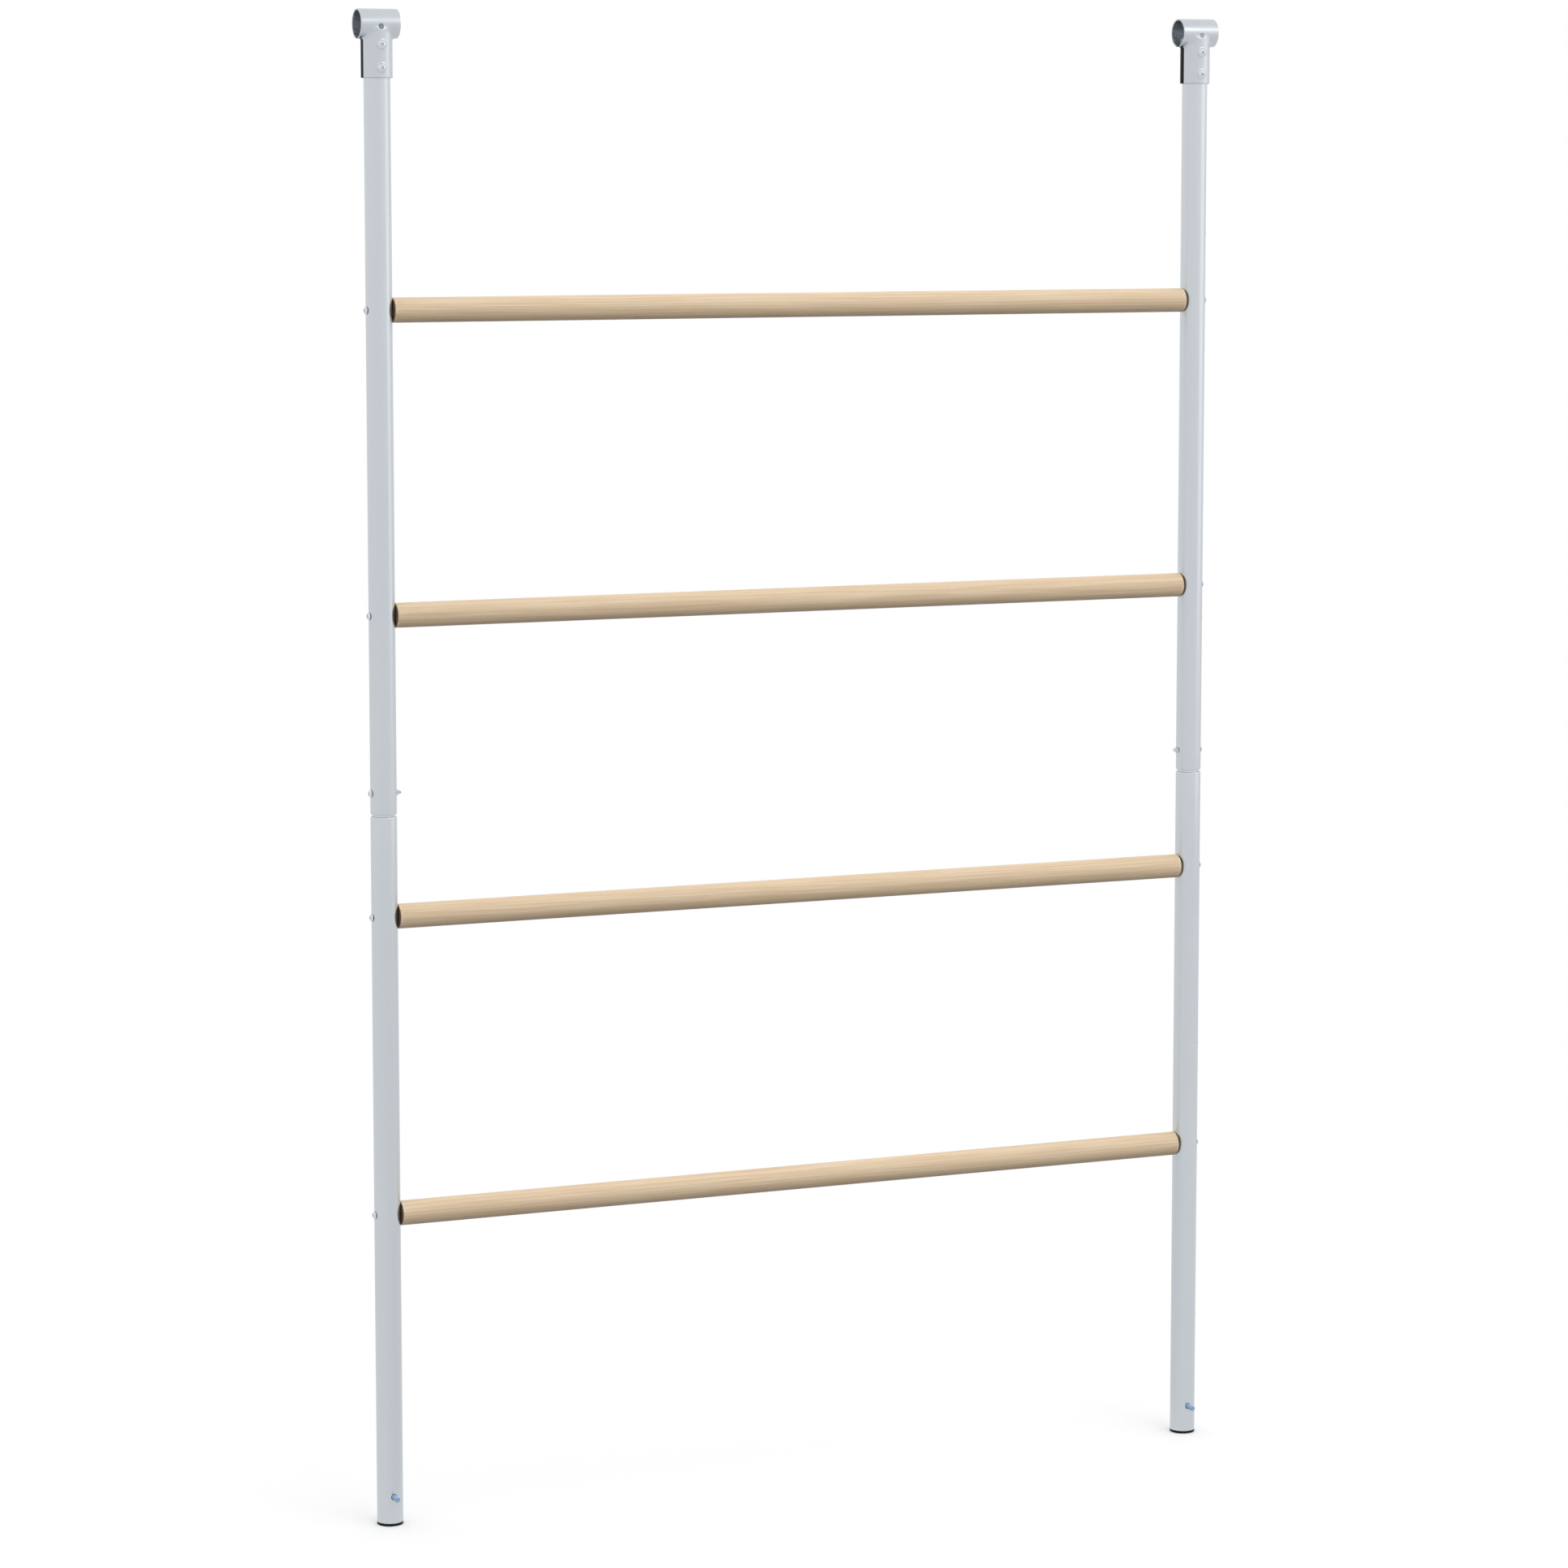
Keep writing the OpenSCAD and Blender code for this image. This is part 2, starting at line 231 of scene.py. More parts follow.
def piece(name, skin, finish, node, place=None):
    """Makes the mesh object that stands for a CAD node, with smooth faces and crisp corners."""
    mesh = bpy.data.meshes.new(name)
    mesh.from_pydata(skin.points, [], skin.faces)
    mesh.attributes.new("wear", "FLOAT", "POINT").data.foreach_set("value", skin.wear)
    work = bmesh.new()
    work.from_mesh(mesh)
    bmesh.ops.delete(work, geom=[v for v in work.verts if not v.link_faces], context="VERTS")
    bmesh.ops.recalc_face_normals(work, faces=work.faces)
    for face in work.faces:
        face.smooth = True
    for edge in work.edges:
        edge.smooth = edge.calc_face_angle(0) < CREASE
    work.to_mesh(mesh)
    work.free()
    made = bpy.data.objects.new(name, mesh)
    bpy.context.scene.collection.objects.link(made)
    if place:
        made.matrix_world = place
    mesh.materials.append(finish)
    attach(made, "root")
    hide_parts(node)
    return made


def add(tree, kind, inputs=None, **settings):
    """Adds a node. An input given a socket is linked to it, and any other input is set to its value."""
    made = tree.nodes.new(kind)
    for key, value in settings.items():
        setattr(made, key, value)
    for key, value in (inputs or {}).items():
        if isinstance(value, bpy.types.NodeSocket):
            tree.links.new(value, made.inputs[key])
        else:
            made.inputs[key].default_value = value
    return made


def calculate(tree, operation, *values):
    """One step of arithmetic on sockets and numbers."""
    return add(tree, "ShaderNodeMath", dict(enumerate(values)), operation=operation).outputs[0]


def blend(tree, share, low, high):
    """Mixes two colours by a share."""
    return add(tree, "ShaderNodeMix", {0: share, 6: low, 7: high}, data_type="RGBA").outputs[2]


def spread(tree, value, low, high, to_low, to_high):
    """Maps one range of values smoothly onto another, and holds it at the ends."""
    ranges = {0: value, 1: low, 2: high, 3: to_low, 4: to_high}
    return add(tree, "ShaderNodeMapRange", ranges, interpolation_type="SMOOTHSTEP").outputs[0]


def effect(name, inputs, outputs):
    """A shader node group to fill in, with its input and output nodes."""
    group = bpy.data.node_groups.new(name, "ShaderNodeTree")
    for key, default in inputs.items():
        kind = "NodeSocketVector" if isinstance(default, tuple) else "NodeSocketFloat"
        group.interface.new_socket(key, in_out="INPUT", socket_type=kind).default_value = default
    for key in outputs:
        group.interface.new_socket(key, in_out="OUTPUT", socket_type="NodeSocketFloat")
    return group, group.nodes.new("NodeGroupInput"), group.nodes.new("NodeGroupOutput")


def place_effect(tree, group, **values):
    """Puts an effect into a material with its own values."""
    return add(tree, "ShaderNodeGroup", {k.replace("_", " "): v for k, v in values.items()}, node_tree=group)


def object_place(tree):
    return add(tree, "ShaderNodeTexCoord").outputs["Object"]


# Cloudy mottle: slow uneven tone, as in any sprayed, moulded or plated surface, and a finer one on top.
CLOUD_LOW, CLOUD_HIGH = 0.32, 0.68      # the range of the noise that is spread from 0 to 1
mottle, given, gives = effect("mottle", {"Size": 0.05, "Fine Size": 0.004}, ["Cloud", "Fine"])
for size, output in (("Size", "Cloud"), ("Fine Size", "Fine")):
    noise = add(mottle, "ShaderNodeTexNoise", {
        "Vector": object_place(mottle), "Scale": calculate(mottle, "DIVIDE", 1.0, given.outputs[size]),
        "Detail": 4.0, "Roughness": 0.6})
    mottle.links.new(spread(mottle, noise.outputs[0], CLOUD_LOW, CLOUD_HIGH, 0.0, 1.0), gives.inputs[output])

# Grain: streaks drawn out along one axis, for drawn metal, brushed plate and wood fibre.
STREAK_LOW, STREAK_HIGH = 0.3, 0.7
grain, given, gives = effect("grain", {"Streak": (0.05, 0.001, 0.001), "Detail": 3.0}, ["Tone", "Height"])
stretched = add(grain, "ShaderNodeVectorMath", {
    0: object_place(grain), 1: given.outputs["Streak"]}, operation="DIVIDE")
noise = add(grain, "ShaderNodeTexNoise", {
    "Vector": stretched.outputs[0], "Scale": 1.0, "Detail": given.outputs["Detail"], "Roughness": 0.65})
streaked = spread(grain, noise.outputs[0], STREAK_LOW, STREAK_HIGH, 0.0, 1.0)
grain.links.new(streaked, gives.inputs["Tone"])
grain.links.new(noise.outputs[0], gives.inputs["Height"])

# Edge wear and light: a broken line along the rims and hole edges that carry the wear value. It is real wear on
# most pieces, a painted highlight on the rounded rims of the rungs, and painted shade in the cross recesses and
# under the heads of the screws and in the bores of the nuts.
PATCH_LOW, PATCH_HIGH = 0.45, 0.62
edge_wear_and_light, given, gives = effect("edge wear and light", {"Amount": 0.5, "Size": 0.003}, ["Mask"])
wear_value = add(edge_wear_and_light, "ShaderNodeAttribute", attribute_name="wear").outputs["Fac"]
noise = add(edge_wear_and_light, "ShaderNodeTexNoise", {
    "Vector": object_place(edge_wear_and_light), "Scale": calculate(edge_wear_and_light, "DIVIDE", 1.0, given.outputs["Size"]),
    "Detail": 3.0})
patches = spread(edge_wear_and_light, noise.outputs[0], PATCH_LOW, PATCH_HIGH, 0.0, 1.0)
patchy = calculate(edge_wear_and_light, "MULTIPLY", wear_value, patches)
edge_wear_and_light.links.new(calculate(edge_wear_and_light, "MULTIPLY", patchy, given.outputs["Amount"]), gives.inputs["Mask"])


def finish(name, **sockets):
    """A material whose Principled BSDF has these constant values, ready for its textures."""
    made = bpy.data.materials.new(name)
    made.use_nodes = True
    shader = made.node_tree.nodes["Principled BSDF"]
    for key, value in sockets.items():
        shader.inputs[key.replace("_", " ")].default_value = value
    return made, made.node_tree, shader


def bump(tree, shader, height, strength, distance):
    made = add(tree, "ShaderNodeBump", {"Height": height, "Strength": strength, "Distance": distance})
    tree.links.new(made.outputs[0], shader.inputs["Normal"])


post_paint, tree, shader = finish("post_paint", Metallic=1.0, Coat_Weight=0.08, Coat_Roughness=0.10)
cloud = place_effect(tree, mottle, Size=0.12, Fine_Size=1.1 * mm)
drawn = place_effect(tree, grain, Streak=(0.9 * mm, 0.9 * mm, 0.25), Detail=3.0)
worn = place_effect(tree, edge_wear_and_light, Amount=0.4, Size=1.8 * mm)
clouded = calculate(tree, "MULTIPLY", cloud.outputs["Cloud"], 1 - DRAWN_SHARE)
tone = calculate(tree, "MULTIPLY_ADD", drawn.outputs["Tone"], DRAWN_SHARE, clouded)
lacquer = blend(tree, tone, POST_SILVER_DEEP, POST_SILVER)
tree.links.new(blend(tree, worn.outputs[0], lacquer, BARE_STEEL), shader.inputs["Base Color"])
tree.links.new(spread(tree, cloud.outputs["Cloud"], 0, 1, *POST_ROUGHNESS), shader.inputs["Roughness"])
bump(tree, shader, cloud.outputs["Fine"], strength=0.05, distance=0.05 * mm)

tube_r = (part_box("left_upper_post")[1].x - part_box("left_upper_post")[0].x) / 2
bore_r = tube_r - POST_WALL
post_x = {side: (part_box(f"{side}_upper_post")[0].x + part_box(f"{side}_upper_post")[1].x) / 2 for side in SIDES}
RUNGS = ("bottom", "lower_middle", "upper_middle", "top")
rung_z = {rung: (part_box(f"{rung}_rung")[0].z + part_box(f"{rung}_rung")[1].z) / 2 for rung in RUNGS}
joint_bolt_z = (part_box("left_joint_bolt")[0].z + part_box("left_joint_bolt")[1].z) / 2
tee_bolt_zs = solids_along("left_tee_bolts", 2)
stud_zs = solids_along("side_studs", 2)
peg_z = (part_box("left_foot_peg")[0].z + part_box("left_foot_peg")[1].z) / 2
EAST, BACK, WEST, FRONT = 0, math.pi / 2, math.pi, 3 * math.pi / 2
for side in SIDES:
    for length in ("upper", "lower"):
        node = f"{side}_{length}_post"
        foot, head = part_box(node)[0].z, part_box(node)[1].z
        foot_round, head_round = (RIM_ROUND, INNER_BREAK) if length == "upper" else (FOOT_ROUND, RIM_ROUND)
        holes = [(way, z, SCREW_HOLE_R) for z in rung_z.values() for way in (EAST, WEST)]
        holes += [(way, joint_bolt_z, JOINT_HOLE_R) for way in (EAST, WEST)]
        holes += [(way, z, SCREW_HOLE_R) for z in tee_bolt_zs for way in (FRONT, BACK)]
        holes += [(FRONT, peg_z, PEG_HOLE_R)]
        if side == "right":
            holes += [(EAST, z, STUD_HOLE_R) for z in stud_zs]
        holes = [hole for hole in holes if foot < hole[1] < head]
        tube = Skin()
        low_out, high_out, low_in, high_in = drilled_walls(
            tube, tube_r, bore_r, foot + foot_round, head - head_round, holes)
        chain(tube, high_out, arc(tube_r - head_round, head - head_round, head_round, ROUND_FROM, 90)
              + [(bore_r + INNER_BREAK, head, 1.0), (bore_r, head - INNER_BREAK, 1.0)], high_in)
        chain(tube, low_out, arc(tube_r - foot_round, foot + foot_round, foot_round, -ROUND_FROM, -90)
              + [(bore_r + INNER_BREAK, foot, 1.0), (bore_r, foot + INNER_BREAK, 1.0)], low_in)
        piece(f"{node}_tube", tube, post_paint, node, Matrix.Translation((post_x[side], 0, 0)))

# ---- joints between the two lengths of a post ----
# A short zinc plated sleeve tube is pressed into the lower length and slips into the upper one. A low domed
# bolt with a cross recess goes through both from the outside, into a small plated nut on the inside.
SPIGOT_WALL, SPIGOT_ROUND = 3 * mm, 1 * mm
RECESS_ARM, RECESS_HALF_WIDTH, RECESS_DEPTH = 2.7 * mm, 0.62 * mm, 1.7 * mm
RECESS_POINT, RECESS_LIP = 0.3 * mm, 0.25 * mm
RECESS_FLOOR_SHARE, RECESS_LIP_SHARE = 0.62, 0.93
RECESS_EDGE = ((0.12, 0.4), (0.4, 0.0), (0.7, 0.0))     # share of the way out to the dome, and the wear value, which here fades the painted recess shade out
HEAD_R, HEAD_H = 5.5 * mm, 3 * mm
HEAD_LAND, HEAD_FLAT_SHARE, HEAD_EDGE_SHARE = 0.5 * mm, 0.45, 0.995
DOME_SHARES = (0.72, 0.80, 0.87, 0.93, 0.97)
HEAD_BREAK, UNDER_BREAK = 0.12 * mm, 0.2 * mm
SHANK_FILLET, BOLT_POINT = 0.3 * mm, 0.8 * mm
JOINT_BOLT_R, JOINT_PITCH = 2 * mm, 0.7 * mm
THREAD_LENGTH, THREAD_DEPTH_SHARE, THREAD_ROWS_PER_TURN = 9 * mm, 0.55, 6
NUT_COLUMNS, NUT_FACE_SHARE, NUT_CORNER_SLOPE = 48, 0.96, 0.5
NUT_SINK, NUT_EDGE, JOINT_NUT_BORE_R = 0.4 * mm, 0.1 * mm, 2.05 * mm
SMALL_ANGLE = 0.01              # keeps a division by a sine away from zero
SAME_ANGLE = 1.0001             # room for rounding where two angles meet
# The third zinc tone is darker: real wear on the rims, and painted shade in the cross recesses, under the heads
# and in the nut bores.
ZINC, ZINC_WORN_AND_SHADED, ZINC_BLUE = (0.74, 0.75, 0.77, 1), (0.62, 0.63, 0.65, 1), (0.66, 0.69, 0.75, 1)
SLEEVE_BRIGHT, SLEEVE_LINE = (0.95, 0.96, 0.97, 1), (0.80, 0.81, 0.83, 1)
SLEEVE_ROUGHNESS, ZINC_ROUGHNESS = (0.30, 0.42), (0.20, 0.34)

spigot_zinc, tree, shader = finish("spigot_zinc", Metallic=1.0)
lines = place_effect(tree, grain, Streak=(0.4 * mm, 0.4 * mm, 0.06), Detail=4.0)
tree.links.new(blend(tree, lines.outputs["Tone"], SLEEVE_LINE, SLEEVE_BRIGHT), shader.inputs["Base Color"])
tree.links.new(spread(tree, lines.outputs["Tone"], 0, 1, *SLEEVE_ROUGHNESS), shader.inputs["Roughness"])
bump(tree, shader, lines.outputs["Height"], strength=0.25, distance=0.03 * mm)

screw_zinc, tree, shader = finish("screw_zinc", Metallic=1.0)
cloud = place_effect(tree, mottle, Size=4 * mm, Fine_Size=0.35 * mm)
worn = place_effect(tree, edge_wear_and_light, Amount=0.8, Size=0.6 * mm)
plated = blend(tree, cloud.outputs["Cloud"], ZINC_BLUE, ZINC)
# The wear mask darkens the rims as real wear, and the cross recesses, the heads' undersides and the nut bores as
# painted shade.
tree.links.new(blend(tree, worn.outputs[0], plated, ZINC_WORN_AND_SHADED), shader.inputs["Base Color"])
tree.links.new(spread(tree, cloud.outputs["Fine"], 0, 1, *ZINC_ROUGHNESS), shader.inputs["Roughness"])
bump(tree, shader, cloud.outputs["Fine"], strength=0.10, distance=0.03 * mm)


def cross_angles(steps=5):
    """Angles for the rings of a screw head, with one at each corner of its cross recess."""
    corner = math.atan2(RECESS_HALF_WIDTH, RECESS_ARM)
    eighth = [0, corner / 2, *np.linspace(corner, math.pi / 4, steps)]
    quarter = eighth + [math.pi / 2 - a for a in eighth[-2:0:-1]]
    return np.array([q * math.pi / 2 + a for q in range(4) for a in quarter])


def cross_outline(angles, size):
    """Distance from the middle to the edge of the cross recess at each angle."""
    folded = np.abs((angles + math.pi / 4) % (math.pi / 2) - math.pi / 4)
    on_end = np.tan(folded) <= RECESS_HALF_WIDTH / RECESS_ARM * SAME_ANGLE
    side_r = RECESS_HALF_WIDTH / np.sin(np.maximum(folded, SMALL_ANGLE))
    return size * np.where(on_end, RECESS_ARM / np.cos(folded), side_r)


def thread_rings(radius, pitch, top, bottom, angles):
    """Profile of a screw thread from one height down to another, as a ridge that winds round +Z."""
    depth = THREAD_DEPTH_SHARE * pitch
    heights = np.arange(top, bottom, -pitch / THREAD_ROWS_PER_TURN)
    rings = []
    for z in heights:
        phase = (z / pitch - angles / (2 * math.pi)) % 1
        fade = min(1, (top - z) / pitch, (z - bottom) / pitch)
        rings.append((radius - depth * fade * np.abs(2 * phase - 1), z, 0.0))
    return rings


def bolt(shank_r, length, head_r=HEAD_R, head_h=HEAD_H, pitch=0.0, threaded=0.0):
    """A domed bolt along +Z with its head sitting on z = 0. Its thread is drawn where it can be seen."""
    size = head_r / HEAD_R
    angles = cross_angles() + math.pi / 4
    flat_r = HEAD_FLAT_SHARE * head_r
    dome_z = (flat_r**2 + head_h**2 - head_r**2 - HEAD_LAND**2) / (2 * (head_h - HEAD_LAND))
    dome_r = math.hypot(head_r, HEAD_LAND - dome_z)

    def on_dome(radius):
        return np.minimum(head_h, dome_z + np.sqrt(dome_r**2 - np.square(radius)))

    outline = cross_outline(cross_angles(), size)
    floor = head_h - RECESS_DEPTH * size
    rings = [(0.0, floor - RECESS_POINT * size, 1.0), (RECESS_FLOOR_SHARE * outline, floor, 1.0)]
    rings += [(RECESS_LIP_SHARE * outline, head_h - RECESS_LIP, 1.0), (outline, on_dome(outline), 1.0)]
    for share, wear in RECESS_EDGE:
        near = outline + share * (DOME_SHARES[0] * head_r - outline)
        rings.append((near, on_dome(near), wear))
    rings += [(share * head_r, on_dome(share * head_r), 0.0) for share in DOME_SHARES]
    rings += [(HEAD_EDGE_SHARE * head_r, HEAD_LAND + HEAD_BREAK, 0.0), (head_r, HEAD_LAND - HEAD_BREAK, 0.0)]
    rings += [(head_r, UNDER_BREAK, 0.0), (head_r - UNDER_BREAK, 0.0, 1.0)]
    rings += [(shank_r + SHANK_FILLET, 0.0, 0.0), (shank_r, -SHANK_FILLET, 0.0)]
    if threaded:
        rings += thread_rings(shank_r, pitch, threaded - length, BOLT_POINT - length, angles)
    rings += [(shank_r, BOLT_POINT - length, 0.0), (shank_r - BOLT_POINT, -length, 1.0), (0.0, -length, 0.0)]
    made = Skin()
    turn(made, rings, angles)
    return made


def hex_nut(flats, height, hole_r):
    """A hexagonal nut on z = 0 with its corners turned off and its bore countersunk."""
    angles = even_angles(NUT_COLUMNS)
    folded = np.abs(angles % (math.pi / 3) - math.pi / 6)
    across = flats / 2 / np.cos(math.pi / 6 - folded)
    corner_drop = (across - flats / 2) * NUT_CORNER_SLOPE
    made = Skin()
    rings = [(hole_r + NUT_SINK, 0.0, 1.0), (flats / 2 * NUT_FACE_SHARE, 0.0, 0.0)]
    rings += [(across, corner_drop + NUT_EDGE, 1.0), (across, height - corner_drop - NUT_EDGE, 1.0)]
    rings += [(flats / 2 * NUT_FACE_SHARE, height, 0.0), (hole_r + NUT_SINK, height, 1.0)]
    rings += [(hole_r, height - NUT_SINK, 1.0), (hole_r, NUT_SINK, 1.0)]
    first, last = turn(made, rings, angles)
    made.bridge(last, first)
    return made


def facing(x, y, z, way):
    """Puts +Z of a piece at a place, pointing along a direction."""
    return Matrix.Translation((x, y, z)) @ Vector(way).to_track_quat("Z", "Y").to_matrix().to_4x4()


for side, sign in SIDES.items():
    low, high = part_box(f"{side}_joint_spigot")
    spigot_r = (high.x - low.x) / 2
    sleeve = Skin()
    low_out, high_out, low_in, high_in = drilled_walls(
        sleeve, spigot_r, spigot_r - SPIGOT_WALL, low.z + SPIGOT_ROUND, high.z - SPIGOT_ROUND,
        [(way, joint_bolt_z, JOINT_HOLE_R) for way in (EAST, WEST)])
    for end_out, end_in, end_z, way in ((high_out, high_in, high.z, 1), (low_out, low_in, low.z, -1)):
        rounding = arc(
            spigot_r - SPIGOT_ROUND, end_z - way * SPIGOT_ROUND, SPIGOT_ROUND, way * ROUND_FROM, way * 90)
        chain(sleeve, end_out, rounding, end_in)
    piece(f"{side}_joint_sleeve", sleeve, spigot_zinc, f"{side}_joint_spigot",
          Matrix.Translation((post_x[side], 0, 0)))

    low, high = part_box(f"{side}_joint_bolt")
    screw = bolt(JOINT_BOLT_R, high.x - low.x - HEAD_H, pitch=JOINT_PITCH, threaded=THREAD_LENGTH)
    piece(f"{side}_joint_dome_bolt", screw, screw_zinc, f"{side}_joint_bolt",
          facing(post_x[side] + sign * tube_r, 0, joint_bolt_z, (sign, 0, 0)))

    low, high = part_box(f"{side}_joint_nut")
    nut = hex_nut(high.y - low.y, high.x - low.x, JOINT_NUT_BORE_R)
    piece(f"{side}_joint_hex_nut", nut, screw_zinc, f"{side}_joint_nut",
          facing(post_x[side] - sign * tube_r, 0, joint_bolt_z, (-sign, 0, 0)))

# ---- side studs ----
# A line of small domed studs with machine threads is screwed into the outer side of the right post. They
# are steel with bright zinc plate, like the bolts.
STUD_R, STUD_HEAD_R = 2 * mm, 3.5 * mm
low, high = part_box("side_studs")
stud_head_h = high.x - post_x["right"] - tube_r
studs = Skin()
for z in stud_zs:
    studs.stamp(bolt(STUD_R, high.x - low.x - stud_head_h, STUD_HEAD_R, stud_head_h),
                facing(post_x["right"] + tube_r, 0, z, (1, 0, 0)))
piece("side_stud_screws", studs, screw_zinc, "side_studs")

# ---- rungs ----
# Each rung is a straight-grained ash dowel, sanded round, with a small bevel at both ends and clear satin
# lacquer. The sawn ends are painted dark, partly for their darker end grain and partly as painted shade from
# the gap against the post, and a brass insert in each takes the screw through the post.
INSERT_R, INSERT_DEPTH, INSERT_BREAK = 5.05 * mm, 20 * mm, 0.2 * mm
RUNG_SCREW_R = 3 * mm
RUNG_END_ROUND, RUNG_END_LENGTH = 1.6 * mm, 4 * mm
END_RING_SHARE = 0.7            # one more ring across the flat of the sawn end
RUNG_COLUMNS, BODY_ROWS, BODY_SHARE = 96, 25, 0.98
WOOD_PALE, WOOD_WARM, WOOD_LATE = (0.830, 0.675, 0.475, 1), (0.735, 0.545, 0.365, 1), (0.560, 0.385, 0.225, 1)
# The second colour here is the sawn ends' darker end grain, made darker still as painted shade from the gap
# against the post.
WOOD_PORE, WOOD_END_GRAIN_AND_SHADE = (0.400, 0.255, 0.140, 1), (0.275, 0.178, 0.108, 1)
# The last colour is a paler wood for the rounded rims of the ends: partly sanded wood, partly a painted highlight
# where the rims catch the light.
WOOD_RIM_SANDED_AND_HIGHLIT = (0.900, 0.760, 0.570, 1)
WOOD_ROUGHNESS, BRASS_ROUGHNESS = (0.40, 0.54), (0.25, 0.40)
BRASS_DEEP, BRASS = (0.55, 0.40, 0.17, 1), (0.78, 0.60, 0.30, 1)
RING_SPACING = 4.2 * mm
WARP_SCALE, WARP_REACH = (2.2, 16.0, 16.0), 14 * mm     # slow waves that bend the rings along the rung
LATE_FROM, LATE_FULL, LATE_END = 0.35, 0.86, 0.90       # where the darker late wood lies within one ring
LATE_SHARE, FIBRE_SHARE, PORE_SHARE = 0.22, 0.16, 0.35
PORE_LOW, PORE_HIGH = 0.60, 0.72
END_DARK_FROM, END_DARK_FULL = 0.12 * mm, 0.02 * mm             # depth over which the dark end grain and painted shade of an end fades
PITH_Y, PITH_Z = 46 * mm, -31 * mm      # the tree's centre line, seen from the rung's axis
RUNG_TURNS = {"bottom": 2.1, "lower_middle": 4.4, "upper_middle": 0.5, "top": 5.4}

rung_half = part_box("top_rung")[1].x
rung_wood, tree, shader = finish("rung_wood", Specular_IOR_Level=0.3, Coat_Weight=0.08, Coat_Roughness=0.25)
here = object_place(tree)
apart = add(tree, "ShaderNodeSeparateXYZ", {0: here})
tree_offset = add(tree, "ShaderNodeObjectInfo").outputs["Location"]
own_place = add(tree, "ShaderNodeVectorMath", {0: here, 1: tree_offset}, operation="ADD").outputs[0]
slow = add(tree, "ShaderNodeVectorMath", {0: own_place, 1: WARP_SCALE}, operation="MULTIPLY").outputs[0]
warp = add(tree, "ShaderNodeTexNoise", {"Vector": slow, "Scale": 1.0, "Detail": 2.0}).outputs[0]
from_pith = add(tree, "ShaderNodeCombineXYZ", {
    0: 0.0, 1: calculate(tree, "ADD", apart.outputs[1], PITH_Y),
    2: calculate(tree, "ADD", apart.outputs[2], PITH_Z)})
radius = add(tree, "ShaderNodeVectorMath", {0: from_pith.outputs[0]}, operation="LENGTH").outputs["Value"]
bent = calculate(tree, "MULTIPLY_ADD", warp, WARP_REACH, radius)
phase = calculate(tree, "FRACT", calculate(tree, "DIVIDE", bent, RING_SPACING))
late_start = spread(tree, phase, LATE_FROM, LATE_FULL, 0, 1)
late_stop = spread(tree, phase, LATE_END, 1, 1, 0)
late = calculate(tree, "MULTIPLY", late_start, late_stop)
fibre = place_effect(tree, grain, Streak=(0.09, 0.55 * mm, 0.55 * mm), Detail=5.0)
streaks = place_effect(tree, grain, Streak=(0.14, 2.6 * mm, 2.6 * mm), Detail=3.0)
pores = place_effect(tree, grain, Streak=(0.010, 0.22 * mm, 0.22 * mm), Detail=2.0)
early_wood = blend(tree, streaks.outputs["Tone"], WOOD_WARM, WOOD_PALE)
ringed = blend(tree, calculate(tree, "MULTIPLY", late, LATE_SHARE), early_wood, WOOD_LATE)
fibred = blend(tree, calculate(tree, "MULTIPLY", fibre.outputs["Tone"], FIBRE_SHARE), ringed, WOOD_LATE)
pitted = spread(tree, pores.outputs["Height"], PORE_LOW, PORE_HIGH, 0, 1)
pored = blend(tree, calculate(tree, "MULTIPLY", pitted, PORE_SHARE), fibred, WOOD_PORE)
from_middle = calculate(tree, "ABSOLUTE", apart.outputs[0])
end_dark_share = spread(tree, from_middle, rung_half - END_DARK_FROM, rung_half - END_DARK_FULL, 0, 1)
# The rounded rims of the ends are painted paler: partly sanded wood, partly a painted highlight where the rims
# catch the light.
rim_sanded_and_highlit = place_effect(tree, edge_wear_and_light, Amount=0.8, Size=6 * mm)
edged = blend(tree, rim_sanded_and_highlit.outputs[0], pored, WOOD_RIM_SANDED_AND_HIGHLIT)
# The flat sawn ends get the dark end colour: their own darker end grain, plus painted shade from the gap against
# the post.
tree.links.new(blend(tree, end_dark_share, edged, WOOD_END_GRAIN_AND_SHADE), shader.inputs["Base Color"])
tree.links.new(spread(tree, fibre.outputs["Tone"], 0, 1, *WOOD_ROUGHNESS), shader.inputs["Roughness"])
bump(tree, shader, fibre.outputs["Height"], strength=0.35, distance=0.06 * mm)

insert_brass, tree, shader = finish("insert_brass", Metallic=1.0)
cloud = place_effect(tree, mottle, Size=5 * mm, Fine_Size=0.3 * mm)
tree.links.new(blend(tree, cloud.outputs["Cloud"], BRASS_DEEP, BRASS), shader.inputs["Base Color"])
tree.links.new(spread(tree, cloud.outputs["Fine"], 0, 1, *BRASS_ROUGHNESS), shader.inputs["Roughness"])
bump(tree, shader, cloud.outputs["Fine"], strength=0.2, distance=0.03 * mm)

